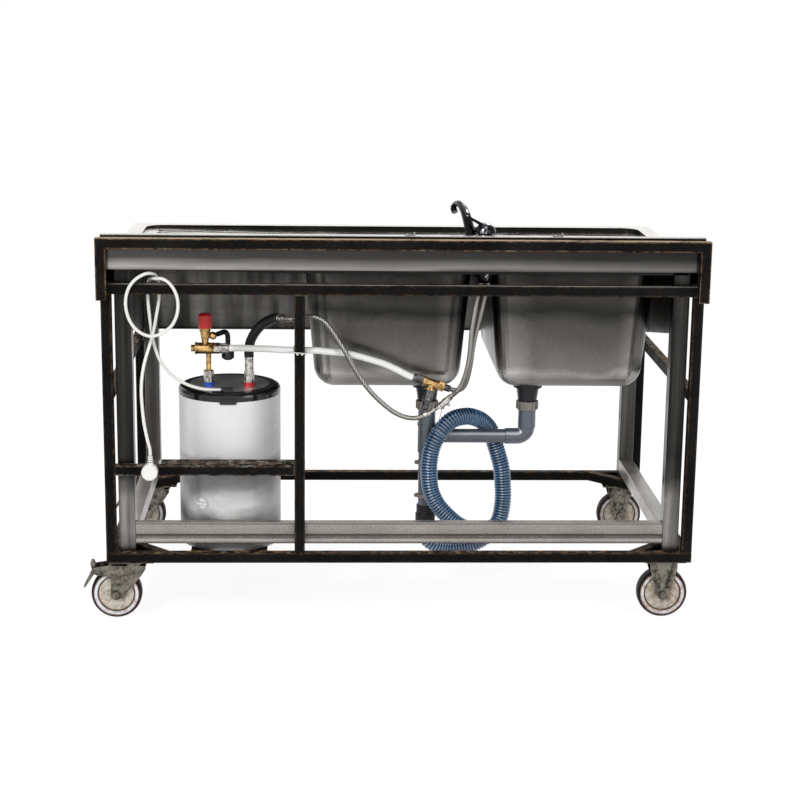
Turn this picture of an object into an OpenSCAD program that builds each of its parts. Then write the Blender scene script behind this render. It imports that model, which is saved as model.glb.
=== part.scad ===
// Double bowl sink on a castor trolley, seen from its plumbing side.
// X runs along the sink, Y runs from the plumbing side to the user's side, Z is up.
// The middle of the trolley is placed so that the origin is the middle of the whole footprint.

/* [Trolley] */
// Length of the trolley frame
frame_w = 1445; // [1380:5:1600]
// Depth of the trolley frame
frame_d = 790; // [760:5:860]
// Outside size of the square tube
tube = 25; // [20:1:30]
// Wall of the square tube
tube_wall = 2; // [1:0.5:4]
// Outside corner radius of the square tube
tube_r = 2; // [0.5:0.5:4]
// Height of the underside of the bottom rails
base_z = 152; // [145:1:170]
// Height of the top of the top rails
frame_top = 845; // [800:5:900]
// Height of the top of the side middle rails
mid_top = 585; // [540:5:620]
// Clear gap between a corner brace and the sink leg beside it
brace_gap = 3; // [1:0.5:20]
// Length of the rim frame along the sink
rim_w = 1460; // [1450:5:1500]
// Height of the rim frame above the trolley
rim_rise = 112; // [90:1:140]
// How far the rim frame's posts reach down past the trolley's top
rim_drop = 36; // [26:1:80]
// Place of the heater upright along the trolley
upright_x = -249.5; // [-255:0.5:-240]
// Height of the underside of the guard rail
guard_z = 374; // [330:1:420]
// How much higher the back bar sits than the guard rail
back_bar_rise = 4; // [0:1:12]
// Length of the back bar
back_bar_len = 350; // [280:5:400]
// Width of a shelf bar under the heater
shelf_w = 50; // [30:5:80]
// Thickness of a shelf bar
shelf_t = 8; // [5:1:12]

/* [Sink top] */
// Thickness of the sink's sheet
sheet = 1.5; // [1:0.1:2.5]
// Depth of the fascias
fascia = 42; // [30:1:60]
// Width of the fascias' folded lower lip
fascia_lip = 14; // [6:1:20]
// Overhang of the sink's ends inside the trolley's outer faces
end_inset = 2.5; // [0:0.5:6]
// Width of the flat rim at the ends
rim_end = 40; // [36:1:60]
// Width of the flat rim at the user's side
rim_far = 35; // [30:1:50]
// Width of the flat ledge at the upstand
rim_near = 25; // [15:1:30]
// Corner radius of the sunk area
recess_r = 45; // [20:1:70]
// Depth of the sunk area round the bowls
recess_deep = 16; // [12:1:22]
// Depth of the drainer at its far end from the bowls
drain_deep = 8; // [5:1:11]
// Width of one drainer rib
drain_rib = 8; // [5:1:12]
// Height of one drainer rib
drain_rib_h = 3; // [1.5:0.5:4]
// Spacing of the drainer ribs
drain_pitch = 44; // [30:1:70]
// How far the upstand rises above the rim frame's top
upstand_rise = 7; // [4:1:20]
// How far the upstand reaches down below the rim
upstand_drop = 7; // [4:1:12]
// Depth of the upstand's folded top
upstand_fold = 19; // [10:1:24]
// Height of the upstand's folded front lip
upstand_lip = 6; // [4:1:10]

/* [Bowls] */
// Outside width of a bowl at its top
bowl_w = 412; // [360:2:420]
// Outside depth of a bowl at its top
bowl_d = 600; // [520:5:610]
// Height of a bowl from its rim to its bottom
bowl_deep = 306.5; // [250:0.5:340]
// Side slope of a bowl in degrees
bowl_draft = 5; // [2:0.5:6]
// Upright corner radius of a bowl
bowl_corner = 60; // [50:1:80]
// Bottom edge radius of a bowl
bowl_edge = 52; // [30:1:58]
// Sheet of a bowl
bowl_wall = 1.2; // [0.8:0.1:2]
// Clear rim of the sunk area beside the right bowl
bowl_side = 50.5; // [38:0.5:54]
// Clear gap between the two bowls
bowl_gap = 44.5; // [37.5:0.5:51.5]
// Clear ledge between the bowls and the recess's near wall
bowl_ledge = 80; // [76:1:90]

/* [Sink stand] */
// Width of a sink leg
leg_w = 40; // [30:1:44]
// Wall of a sink leg
leg_wall = 1.5; // [1:0.1:3]
// Clear gap between the legs' outer faces and the trolley's side rails
leg_gap = 4.5; // [3:0.5:8]
// Clear gap between the far legs and the trolley's far rails
leg_gap_y = 3; // [2:0.5:6]
// Height of the side lower rails' underside
side_rail_z = 188; // [180:1:230]
// Height of the side lower rails
side_rail_h = 37; // [25:1:40]
// Height of the rear lower rail's underside
rear_rail_z = 193; // [180:1:230]
// Height of the rear lower rail
rear_rail_h = 54; // [45:1:60]
// Depth of the rear lower rail's top flange
rear_rail_d = 20; // [14:1:20]
// Height of the bead along the rear lower rail's foot
rear_bead_h = 13; // [8:1:16]
// Height of the groove above that bead
rear_groove_h = 6; // [4:1:8]
// Height of the front panel's lower edge
front_panel_z = 595; // [588:1:640]
// Depth of the front panel's lower lip
front_lip = 12; // [6:1:20]
// Height of a side panel's lower edge at the user's side
side_panel_z = 592; // [588:1:640]
// Height of a side panel's lower edge where its slope changes
side_panel_knee_z = 676; // [650:1:700]
// Height of a side panel's lower edge at the plumbing side
side_panel_near_z = 718; // [700:1:760]

/* [Wastes] */
// Distance of the wastes from the trolley's middle towards the plumbing side
waste_y = -140; // [-146:1:-130]
// Distance of the left waste from its bowl's middle towards the other bowl
left_waste_off = 106; // [97:1:106]
// Distance of the right waste from its bowl's middle towards the other bowl
right_waste_off = 92.5; // [78.5:1:92.5]
// Radius of the pressed seat of a waste
well_r = 40; // [38:1:42]
// Depth of the pressed seat of a waste
well_deep = 3; // [2:0.5:6]
// Outside radius of a waste body's flange
flange_r = 37; // [34:1:40]
// Radius of the hole in a bowl
waste_hole_r = 26; // [22:0.5:28]
// Outside radius of the down pipe
pipe_r = 20; // [18:0.5:20]
// Outside radius of the branch pipe
branch_r = 18; // [16:0.5:18]
// Wall of the waste pipes
pipe_wall = 2; // [1.5:0.1:3]
// Wall of a fitting round its pipe
socket_wall = 2.4; // [1.5:0.1:3]
// Height of the branch pipe's axis
branch_z = 412.7; // [405:0.1:416]
// Height of the down pipe's lower end
pipe_end_z = 206; // [200:1:220]
// Heights of the two pipe clips
clip_heights = [342, 254];

/* [Drain hose] */
// Outside radius of the ribs
hose_r = 22.3; // [20:0.1:23]
// Outside radius between the ribs
hose_groove_r = 20; // [18:0.1:21]
// Radius of the bore
hose_bore_r = 16; // [14:0.1:17]
// Number of ribs
hose_ribs = 195; // [100:5:200]
// Bore of the free end's cuff
cuff_bore_r = 20; // [18:0.5:20.5]
// How far a cuff holds the hose
cuff_grip = 18; // [10:1:30]
// How far a cuff reaches past the hose's end
cuff_reach = 27; // [20:1:40]
// Wall of a cuff
cuff_wall = 3; // [2:0.5:4]
// Thickness of the stop inside a cuff
cuff_stop = 4; // [2:0.5:6]

/* [Water heater] */
// Place of the heater's axis along the trolley
heater_x = -427; // [-430:1:-420]
// Place of the heater's axis across the trolley
heater_y = -215; // [-217:1:-200]
// Radius of the casing
heater_r = 127; // [115:1:127]
// Height of the casing
heater_h = 385; // [340:1:400]
// Sheet of the casing
heater_wall = 1.5; // [1:0.1:3]
// Height of the cap's skirt and shoulder
cap_h = 21; // [18:1:30]
// Radius of the steel disc in the cap
disc_r = 98.5; // [85:0.5:100]
// Thickness of the steel disc
disc_t = 3; // [2:0.5:4]
// Spacing of the cold and hot stubs
stub_pitch = 100; // [90:1:110]
// Distance of the stubs from the heater's axis towards the plumbing side
stub_back = 30; // [20:1:36]
// Radius of a stub
stub_r = 9; // [8:0.5:10]
// Radius of the inner tank
tank_r = 105; // [90:1:115]
// Height of the thermostat knob above the casing's foot
knob_rise = 124; // [60:1:300]
// Radius of the thermostat knob
knob_r = 14; // [10:1:18]

/* [Safety valve] */
// Height of the valve body's axis above the stub rings
valve_rise = 85; // [80:1:95]
// Radius of the valve body
valve_r = 14; // [12:0.5:14]
// Radius of the red cap
test_cap_r = 16.5; // [14:0.5:20]
// Height of the red cap
test_cap_h = 35; // [25:1:40]
// Number of grooves round the red cap
cap_grooves = 18; // [12:1:24]

/* [Hoses and cords] */
// Radius of the white cold hose
cold_r = 8.3; // [6:0.1:8.4]
// Radius of the black hot hose
hot_r = 12; // [9:0.5:12]
// Radius of the braided hoses
braid_r = 5.8; // [4:0.1:6]
// Radius of the power cord
cord_r = 4; // [3:0.1:4]

/* [Mixer tap] */
// Distance of the tap from the middle between the bowls
tap_off = 0.75; // [-5:0.25:5]
// Radius of the tap's column
tap_r = 22; // [18:1:22]
// Height of the tap's ball above the ledge
tap_ball_rise = 95; // [93:1:120]
// Outside radius of the lever's shell
lever_r = 25; // [22:1:26]

/* [Castors] */
// Distance of the castors' axes from the frame's ends
castor_end = 62.5; // [58.5:0.5:82.5]
// Distance of the castors' axes from the frame's long sides
castor_side = 48.5; // [47:0.5:65]
// Diameter of a wheel
wheel_d = 125; // [100:1:127]
// Width of a wheel
wheel_w = 37; // [28:1:42]
// Trail of the swivel castors
trail = 44; // [35:1:50]
// Thickness of the tyre
tyre_t = 8; // [5:0.5:14]
// Radius of a wheel's axle
axle_r = 6; // [4:0.5:8]
// Thickness of a castor's plate
plate_t = 3; // [2:0.5:5]
// Thickness of a fork's cheek
cheek_t = 3; // [2:0.5:4]
// Reach of the brake pedal from the swivel axis
pedal_reach = 125; // [120:1:132]

/* [Hidden] */
$fn = 48;
fit = 0.3;
tiny = 0.01;

sink_w = frame_w - 2 * end_inset;
face_y = -frame_d / 2;
rim_bar_top = frame_top + rim_rise;
rim_z = frame_top + fascia;
floor_z = rim_z - recess_deep;
deck_under = rim_z - sheet;
floor_under = floor_z - sheet;
back_y = face_y + sheet;
recess_x = sink_w / 2 - rim_end;
recess_near = face_y + rim_near;
recess_far = frame_d / 2 - rim_far;
bowl_near = recess_near + bowl_ledge;
bowl_y = bowl_near + bowl_d / 2;
bowl_bottom = floor_under - bowl_deep;
well_bottom = bowl_bottom - well_deep;
right_bowl_x = recess_x - bowl_side - bowl_w / 2;
left_bowl_x = right_bowl_x - bowl_w - bowl_gap;
left_waste_x = left_bowl_x + left_waste_off;
right_waste_x = right_bowl_x - right_waste_off;
drain_x = left_bowl_x - bowl_w / 2 - 16;

side_in = frame_w / 2 - tube;
far_in = frame_d / 2 - tube;
leg_x = side_in - leg_gap - leg_w / 2;
leg_y = far_in - leg_gap_y - leg_w / 2;
leg_inner_x = leg_x - leg_w / 2;
brace_sum = (frame_w / 2 - leg_inner_x) + (frame_d / 2 - (leg_y - leg_w / 2))
    + (brace_gap + tube / 2) * sqrt(2);

castor_x = frame_w / 2 - castor_end;
castor_y = frame_d / 2 - castor_side;
wheel_r = wheel_d / 2;
plate_z = base_z - plate_t;
head_top = plate_z - fit;
head_h = 12;
cheek_y = wheel_w / 2 + 3;
castor_head_r = 31;
pin_r = 3;
pedal_w = wheel_w - 5;

pedal_tip_x = -(castor_x + pedal_reach);
shift_x = -(rim_w / 2 + pedal_tip_x) / 2;
shift_y = tube / 2;

heater_base = base_z + shelf_t;
heater_top = heater_base + heater_h;
cap_top = heater_top + cap_h;
ring_z = cap_top + 4;
stub_top = ring_z + 23;
stub_y = heater_y - stub_back;
cold_x = heater_x - stub_pitch / 2;
hot_x = heater_x + stub_pitch / 2;
valve_z = ring_z + 6 + valve_rise;
knob_turn = 240;
knob_z = heater_base + knob_rise;

waste_top = well_bottom;
body_z = waste_top - 51;
nut_z = body_z - 25;
socket_top = nut_z - 1;
tail_r = pipe_r;
socket_r = pipe_r + fit + socket_wall;
branch_socket_r = branch_r + fit + socket_wall;
elbow_r = branch_socket_r + 4.5;

tap_x = (left_bowl_x + right_bowl_x) / 2 + tap_off;
tap_y = bowl_near - 48;
tap_ball_z = floor_z + tap_ball_rise;

// Fall of the inlet tee's run towards the right, turn of its branch towards the plumbing side,
// and the reach of its body and nuts
tee_fall = 18;
tee_turn = 30;
tee_axis = [cos(tee_fall), 0, -sin(tee_fall)];
tee_body = 18;
cold_end = [29, -308, 603];
tee_at = cold_end + tee_axis * (tee_body + 29);
mixer_cold_start = tee_at + tee_axis * (tee_body + 30);

// Ends of the crimp between the hot hose and its braided tail
crimp_start = [-303, -300, 748];
crimp_end = [-264, -328, 752];
crimp_axis = unit(crimp_end - crimp_start);

// Points along the hot coupling: end of the tail, ends of the thin pipe, far end of the coupling
tail_end = [56, -321, 510];
thin_start = [70, -320, 518];
thin_end = [93, -319, 530];
coupling_end = [121, -322, 557];
tail_axis = unit(thin_start - tail_end);
coupling_axis = unit(coupling_end - thin_end);

// Route of the white cold hose
cold_path = concat([
    [-429, -245, 661], [-421, -245, 661], [-410, -248, 662], [-398, -257, 664], [-385, -269, 666],
    [-366, -287, 669], [-340, -310, 673], [-314, -335, 677], [-288, -353, 679], [-266, -360, 680],
    [-234, -360, 680], [-208, -353, 678], [-177, -338, 672], [-140, -325, 666], [-103, -318, 656],
    [-74, -314, 647], [-42, -310, 636], [-12, -308, 622]],
    [cold_end - tee_axis * 14, cold_end]);
// Route of the black hot hose
hot_path = concat([
    [-377, -245, 640], [-377, -245, 652], [-374, -247, 676], [-362, -256, 702], [-343, -270, 726],
    [-324, -284, 740]], [crimp_start - crimp_axis * 8, crimp_start]);
// Route of the braided hot tail
tail_path = concat([crimp_end, crimp_end + crimp_axis * 8], [
    [-235, -346, 759], [-214, -351, 760], [-194, -353, 751],
    [-176, -353, 731], [-157, -352, 702], [-138, -351, 671], [-113, -347, 625], [-88, -342, 587],
    [-59, -338, 554], [-22, -333, 522], [8, -328, 507], [32, -324, 503]],
    [tail_end - tail_axis * 8, tail_end]);
// Route of the braided hose that carries the hot water up to the tap
mixer_hot_path = concat([coupling_end, coupling_end + coupling_axis * 8], [
    [136, -330, 573], [146, -334, 590], [154, -338, 613],
    [161, -341, 645], [165, -342, 681], [167, -342, 717], [172, -342, 758], [179, -341, 802],
    [187.5, -338, 833], [187.5, -338, 845]]);
// Route of the braided hose that carries the cold water up to the tap
mixer_cold_path = concat([mixer_cold_start, mixer_cold_start + tee_axis * 8], [
    [142, -309, 571], [154, -314, 582], [162, -321, 605],
    [168, -326, 641], [172, -328, 679], [178, -330, 715], [188, -332, 758], [197, -334, 802],
    [204.5, -338, 833], [204.5, -338, 845]]);
// Route of the power cord from the heater's cap over the top rail, round its loop and to the plug
cord_path = [
    [-442, -316, 571], [-450, -316, 571], [-467, -319, 572], [-490, -326, 576], [-520, -335, 587],
    [-550, -343, 605], [-573, -349, 629], [-591, -353, 660], [-602, -357, 698], [-606, -359, 728],
    [-610, -361, 764], [-613, -362, 803], [-613, -362, 829], [-610, -364, 847], [-602, -374, 855],
    [-591, -387, 857], [-577, -397, 859], [-563, -401, 853], [-550, -402, 839], [-541, -402, 819],
    [-538, -402, 797], [-541, -402, 773], [-552, -402, 749], [-570, -402, 732], [-589, -402, 723],
    [-606, -402, 721], [-624, -402, 727], [-641, -402, 740], [-654, -402, 761], [-661, -402, 787],
    [-661, -402, 812], [-655, -402, 834], [-643, -402, 852], [-628, -401, 864], [-613, -394, 870],
    [-601, -383, 869], [-592, -371, 862], [-588, -363, 847], [-586, -362, 826], [-587, -362, 799],
    [-593, -363, 764], [-600, -367, 728], [-610, -375, 692], [-620, -387, 658], [-626, -400, 625],
    [-628, -409, 590], [-626, -416, 553], [-622, -421, 514], [-615, -424, 476], [-609, -425, 451],
    [-608, -425, 440], [-608, -425, 432]];

// Route of the drain hose: down from the pipe, round its loop over the branch pipe, to its free end
hose_start = [left_waste_x, waste_y, pipe_end_z - 4];
hose_end = [250, -197, 177];
hose_path = concat([hose_start, hose_start - [0, 0, 44]], [
    [76, -139, 144], [86, -138, 130], [102, -136, 120], [124, -132, 114], [150, -128, 111],
    [178, -123, 112], [205, -118, 118], [231, -113, 131], [252, -109, 150], [267, -106, 172],
    [275, -103, 198], [279, -100, 237], [277, -98, 276], [273, -97, 316], [264, -96, 350],
    [254, -96, 382], [246, -97, 407], [239, -99, 421], [230, -104, 433], [217, -113, 446],
    [205, -122, 454], [190, -132, 461], [175, -142, 465], [148, -158, 464], [125, -172, 454],
    [102, -183, 428], [88, -186, 400], [81, -187, 373], [78, -188, 341], [80, -189, 301],
    [86, -190, 273], [99, -191, 246], [117, -193, 224], [138, -195, 204], [160, -197, 188],
    [182, -197, 179], [205, -197, 177]], [hose_end]);
// Share of the hose's length at which its string holds it
tie_share = 0.665;

// Helpers for tubes, sheets and swept hoses

module placed() {
    translate([shift_x, shift_y, 0]) children();
}

module rounded_rect(w, h, r) {
    square([w - 2 * r, h], center = true);
    square([w, h - 2 * r], center = true);
    for (x = [-1, 1], y = [-1, 1]) {
        translate([x * (w / 2 - r), y * (h / 2 - r)]) circle(r);
    }
}

module tube_section(w, h, wall, r) {
    difference() {
        rounded_rect(w, h, r);
        square([w - 2 * wall, h - 2 * wall], center = true);
    }
}

module tube_x(length) {
    rotate([90, 0, 90]) linear_extrude(height = length, center = true) {
        tube_section(tube, tube, tube_wall, tube_r);
    }
}

// A rail along X whose long side faces -Y and whose ends are mitred
module mitred_rail(length) {
    intersection() {
        tube_x(length);
        linear_extrude(height = 2 * tube, center = true) {
            polygon([[-length / 2, -tube / 2], [length / 2, -tube / 2],
                [length / 2 - tube, tube / 2], [-length / 2 + tube, tube / 2]]);
        }
    }
}

// A cylinder between two points
module rod(from, to, r) {
    d = to - from;
    length = norm(d);
    translate(from) rotate([0, acos(d.z / length), atan2(d.y, d.x)]) cylinder(h = length, r = r);
}

function unit(v) = v / norm(v);
function curve_point(a, b, c, d, u) = 0.5 * (2 * b + (c - a) * u + (2 * a - 5 * b + 4 * c - d) * u * u
    + (3 * b - a - 3 * c + d) * u * u * u);
function smooth(p, n) =
    let (last = len(p) - 1)
    concat([for (i = [0 : last - 1], k = [0 : n - 1])
        curve_point(p[max(i - 1, 0)], p[i], p[i + 1], p[min(i + 2, last)], k / n)], [p[last]]);
function run_lengths(p) =
    [for (i = 0, s = 0; i < len(p); s = s + (i + 1 < len(p) ? norm(p[i + 1] - p[i]) : 0), i = i + 1) s];
function resample(p, n) =
    let (s = run_lengths(p), total = s[len(s) - 1],
        tx = [for (i = [0 : len(p) - 1]) [s[i], p[i].x]],
        ty = [for (i = [0 : len(p) - 1]) [s[i], p[i].y]],
        tz = [for (i = [0 : len(p) - 1]) [s[i], p[i].z]])
    [for (k = [0 : n]) let (d = total * k / n) [lookup(d, tx), lookup(d, ty), lookup(d, tz)]];
function normals(t, first) =
    [for (i = 0, n = unit(first - (first * t[0]) * t[0]); i < len(t);
        i = i + 1, n = i < len(t) ? unit(n - (n * t[i]) * t[i]) : n) n];
function ring(c, n, b, r, sides) =
    [for (k = [0 : sides - 1]) c + r * (cos(360 * k / sides) * n + sin(360 * k / sides) * b)];
function swept_tangents(p, path) =
    let (last = len(p) - 1, end = len(path) - 1)
    [for (i = [0 : last]) i == 0 ? unit(path[1] - path[0])
        : i == last ? unit(path[end] - path[end - 1]) : unit(p[i + 1] - p[i - 1])];
function rings(p, path, radii, sides, first) =
    let (t = swept_tangents(p, path), n = normals(t, first))
    [for (i = [0 : len(p) - 1]) each ring(p[i], n[i], cross(t[i], n[i]), radii[i], sides)];
// Triangles of a skin over rings, turned inside out when flip is 1
function skin(rows, sides, start, flip) =
    [for (i = [0 : rows - 2], k = [0 : sides - 1])
        let (a = start + i * sides + k, b = start + i * sides + (k + 1) % sides,
            c = a + sides, d = b + sides)
        each (flip == 1 ? [[a, d, c], [a, b, d]] : [[a, c, d], [a, d, b]])];
function fan(sides, start, flip) =
    [for (k = [1 : sides - 2])
        flip == 1 ? [start, start + k + 1, start + k] : [start, start + k, start + k + 1]];
function mouth(sides, outer, inner, flip) =
    [for (k = [0 : sides - 1])
        let (a = outer + k, b = outer + (k + 1) % sides, c = inner + k, d = inner + (k + 1) % sides)
        each (flip == 1 ? [[a, d, b], [a, c, d]] : [[a, b, d], [a, d, c]])];

// A solid hose of one radius along a smooth route with n steps
module hose(path, r, sides, n, first = [0, 1, 0]) {
    p = resample(smooth(path, 8), n);
    radii = [for (i = [0 : n]) r];
    polyhedron(points = rings(p, path, radii, sides, first),
        faces = concat(fan(sides, 0, 0), skin(n + 1, sides, 0, 0), fan(sides, n * sides, 1)),
        convexity = 10);
}

// Trolley

module long_rails() {
    color("#1c1c1d") for (z = [base_z + tube / 2, frame_top - tube / 2], side = [0, 180]) {
        rotate([0, 0, side]) translate([0, -(frame_d - tube) / 2, z]) mitred_rail(frame_w);
    }
}

module end_rails() {
    color("#1c1c1d") {
        for (z = [base_z + tube / 2, frame_top - tube / 2], side = [-90, 90]) {
            rotate([0, 0, side]) translate([0, -(frame_w - tube) / 2, z]) mitred_rail(frame_d);
        }
        for (side = [-90, 90]) {
            rotate([0, 0, side]) translate([0, -(frame_w - tube) / 2, mid_top - tube / 2]) {
                tube_x(frame_d - 2 * tube);
            }
        }
    }
}

module uprights() {
    h = frame_top - base_z - 2 * tube;
    color("#1c1c1d") {
        for (x = [-1, 1], y = [-1, 1]) {
            translate([x * (frame_w - tube) / 2, y * (frame_d - tube) / 2, base_z + tube]) {
                linear_extrude(height = h) tube_section(tube, tube, tube_wall, tube_r);
            }
        }
        translate([upright_x, -(frame_d - tube) / 2, base_z + tube]) {
            linear_extrude(height = h) tube_section(tube, tube, tube_wall, tube_r);
        }
    }
}

module corner_braces() {
    color("#1c1c1d") for (x = [-1, 1], y = [-1, 1]) {
        intersection() {
            translate([x * (frame_w - brace_sum) / 2, y * (frame_d - brace_sum) / 2, base_z + tube / 2]) {
                rotate([0, 0, -45 * x * y]) tube_x(brace_sum * 1.5);
            }
            translate([0, 0, base_z + tube / 2]) {
                cube([frame_w - 2 * tube, frame_d - 2 * tube, 2 * tube], center = true);
            }
        }
    }
}

// The outline of the rim frame, shrunk by a wall for its hollow
module rim_outline(inset) {
    low = frame_top - rim_drop;
    difference() {
        translate([-rim_w / 2 + inset, low]) square([rim_w - 2 * inset, rim_bar_top - low - inset]);
        translate([-rim_w / 2 + tube - inset, low - 1]) {
            square([rim_w - 2 * tube + 2 * inset, rim_bar_top - low - tube + inset + 1]);
        }
    }
}

module rim_frame() {
    color("#1c1c1d") difference() {
        translate([0, face_y, 0]) rotate([90, 0, 0]) linear_extrude(height = tube) rim_outline(0);
        translate([0, face_y - tube_wall, -tiny]) rotate([90, 0, 0]) {
            linear_extrude(height = tube - 2 * tube_wall) rim_outline(tube_wall);
        }
    }
}

module guard_rails() {
    left = -side_in;
    right = upright_x - tube / 2;
    color("#1c1c1d") {
        translate([(left + right) / 2, -(frame_d - tube) / 2, guard_z + tube / 2]) tube_x(right - left);
        translate([upright_x + tube / 2 - back_bar_len / 2, face_y + tube * 1.5 + fit,
            guard_z + back_bar_rise + tube / 2]) {
            tube_x(back_bar_len);
        }
    }
}

module shelf_bars() {
    color("#262626") for (side = [-1, 1]) {
        translate([heater_x + side * heater_r * 0.55 - shelf_w / 2, -far_in, base_z]) {
            cube([shelf_w, 2 * far_in, shelf_t]);
        }
    }
}

// Sink top

module recess_outline(grow) {
    translate([0, (recess_near + recess_far) / 2]) {
        rounded_rect(2 * recess_x + 2 * grow, recess_far - recess_near + 2 * grow, recess_r + grow);
    }
}

module bowl_mouth(inset) {
    for (x = [left_bowl_x, right_bowl_x]) {
        translate([x, bowl_y]) {
            rounded_rect(bowl_w - 2 * inset, bowl_d - 2 * inset, bowl_corner - inset);
        }
    }
}

function drain_z(x) = x > drain_x ? floor_z
    : floor_z + (recess_deep - drain_deep) * (drain_x - x) / (drain_x + recess_x);

// The recess floor seen from the side, flat below the bowls and rising under the drainer
module floor_profile() {
    end = recess_x + sheet;
    polygon([[-end, drain_z(-end) - sheet], [drain_x, floor_under], [end, floor_under],
        [end, floor_z], [drain_x, floor_z], [-end, drain_z(-end)]]);
}

module drain_ribs() {
    length = drain_x + recess_x - 60;
    slope = atan2(recess_deep - drain_deep, drain_x + recess_x);
    count = floor((recess_far - recess_near - 80) / drain_pitch);
    for (i = [0 : count]) {
        translate([drain_x - 25, (recess_near + recess_far) / 2 + (i - count / 2) * drain_pitch,
            floor_z - sheet / 2]) {
            rotate([0, slope, 0]) linear_extrude(height = sheet / 2 + drain_rib_h) {
                translate([-length / 2, 0]) rounded_rect(length, drain_rib, drain_rib / 2 - tiny);
            }
        }
    }
}

module sink_top() {
    width = sink_w / 2;
    far = frame_d / 2;
    color("#a9a6a0") difference() {
        union() {
            translate([0, 0, deck_under]) linear_extrude(height = sheet) difference() {
                translate([-width, back_y]) square([sink_w, far - back_y]);
                recess_outline(0);
            }
            intersection() {
                translate([0, 0, floor_under]) linear_extrude(height = recess_deep + sheet) {
                    difference() {
                        recess_outline(sheet);
                        recess_outline(0);
                    }
                }
                translate([0, far + sheet, 0]) rotate([90, 0, 0]) linear_extrude(height = frame_d) {
                    wall_end = recess_x + sheet;
                    polygon([[-wall_end, drain_z(-wall_end) - sheet], [drain_x, floor_under],
                        [wall_end, floor_under], [wall_end, rim_z], [-wall_end, rim_z]]);
                }
            }
            intersection() {
                translate([0, far, 0]) rotate([90, 0, 0]) linear_extrude(height = frame_d) {
                    floor_profile();
                }
                translate([0, 0, floor_under]) linear_extrude(height = recess_deep + sheet) {
                    recess_outline(sheet / 2);
                }
            }
            drain_ribs();
            for (side = [-1, 1]) {
                translate([side * (width - sheet / 2), (back_y + far) / 2, frame_top + fascia / 2]) {
                    cube([sheet, far - back_y, fascia], center = true);
                }
                translate([side * (width - fascia_lip / 2), (back_y + far) / 2, frame_top + sheet / 2]) {
                    cube([fascia_lip, far - back_y, sheet], center = true);
                }
            }
            translate([-width, far - sheet, frame_top]) cube([sink_w, sheet, fascia]);
            translate([-width, far - fascia_lip, frame_top]) cube([sink_w, fascia_lip, sheet]);
        }
        translate([0, 0, floor_under - 1]) linear_extrude(height = recess_deep) bowl_mouth(bowl_wall);
        translate([tap_x, tap_y, floor_under - 1]) cylinder(h = sheet + 2, r = 16 + fit);
    }
}

module upstand() {
    low = rim_z - upstand_drop;
    high = rim_bar_top + upstand_rise;
    hem = upstand_drop - sheet - fit;
    hem_w = sink_w - 2 * sheet - 2 * fit;
    color("#8f8c86") rotate([90, 0, 90]) translate([0, 0, -hem_w / 2]) linear_extrude(height = hem_w) {
        translate([face_y, low]) square([2 * sheet, hem]);
    }
    color("#8f8c86") rotate([90, 0, 90]) translate([0, 0, -sink_w / 2]) linear_extrude(height = sink_w) {
        polygon([[face_y, low], [back_y, low], [back_y, high - sheet], [back_y + upstand_fold - sheet, high - sheet],
            [back_y + upstand_fold - sheet, high - upstand_lip],
            [back_y + upstand_fold, high - upstand_lip], [back_y + upstand_fold, high],
            [face_y + 2, high], [face_y, high - 2]]);
    }
}

// Outer skin of a bowl below the recess floor, or its inside when inset is the sheet
module bowl_form(inset, dx) {
    side = tan(bowl_draft);
    r = bowl_edge - inset;
    centre_z = bowl_bottom + bowl_edge;
    x = bowl_w / 2 - (floor_under - centre_z) * side - bowl_edge;
    y = bowl_d / 2 - (floor_under - centre_z) * side - bowl_edge;
    hull() {
        for (sx = [-1, 1], sy = [-1, 1]) {
            translate([sx * x, sy * y, centre_z]) sphere(r, $fn = 32);
            translate([sx * (bowl_w / 2 - bowl_corner), sy * (bowl_d / 2 - bowl_corner),
                floor_under - 1]) {
                cylinder(h = 1 + inset, r = bowl_corner - inset, $fn = 32);
            }
        }
    }
    translate([dx, waste_y - bowl_y, well_bottom + inset]) cylinder(h = 12, r = well_r - inset);
}

module bowl(x, waste_x) {
    color("#8d8880") translate([x, bowl_y, 0]) difference() {
        bowl_form(0, waste_x - x);
        bowl_form(bowl_wall, waste_x - x);
        translate([waste_x - x, waste_y - bowl_y, well_bottom - 1]) {
            cylinder(h = 10, r = waste_hole_r);
        }
    }
}

module left_bowl() {
    bowl(left_bowl_x, left_waste_x);
}

module right_bowl() {
    bowl(right_bowl_x, right_waste_x);
}

// Panels, legs and rails of the sink stand

module front_panel() {
    outer = leg_x + leg_w / 2;
    y = leg_y + leg_w / 2;
    color("#9c9891") rotate([90, 0, 90]) translate([0, 0, -outer]) linear_extrude(height = 2 * outer) {
        polygon([[y, front_panel_z], [y + sheet, front_panel_z], [y + sheet, deck_under],
            [y, deck_under]]);
    }
    color("#9c9891") translate([-leg_inner_x, y - front_lip, front_panel_z]) {
        cube([2 * leg_inner_x, front_lip + tiny, sheet]);
    }
}

module side_panels() {
    far = leg_y + leg_w / 2 - fit;
    near = -leg_y - leg_w / 2 + 22;
    knee = (far + near) / 2 - 110;
    color("#3a3a3a") for (x = [-leg_x - leg_w / 2 - sheet, leg_x + leg_w / 2]) {
        translate([x, 0, 0]) rotate([90, 0, 90]) linear_extrude(height = sheet) {
            polygon([[far, side_panel_z], [knee, side_panel_knee_z], [near, side_panel_near_z],
                [near, deck_under], [far, deck_under]]);
        }
    }
}

module sink_legs() {
    color("#a19d95") for (x = [-1, 1], y = [-1, 1]) {
        top = drain_z(x * (leg_x - leg_w / 2)) - sheet;
        difference() {
            translate([x * leg_x, y * leg_y, base_z]) linear_extrude(height = top - base_z) {
                tube_section(leg_w, leg_w, leg_wall, 2);
            }
            if (x > 0) {
                translate([leg_inner_x - 1, y * leg_y - 4, base_z + 190]) cube([leg_wall + 2, 8, 22]);
            }
        }
    }
}

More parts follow.
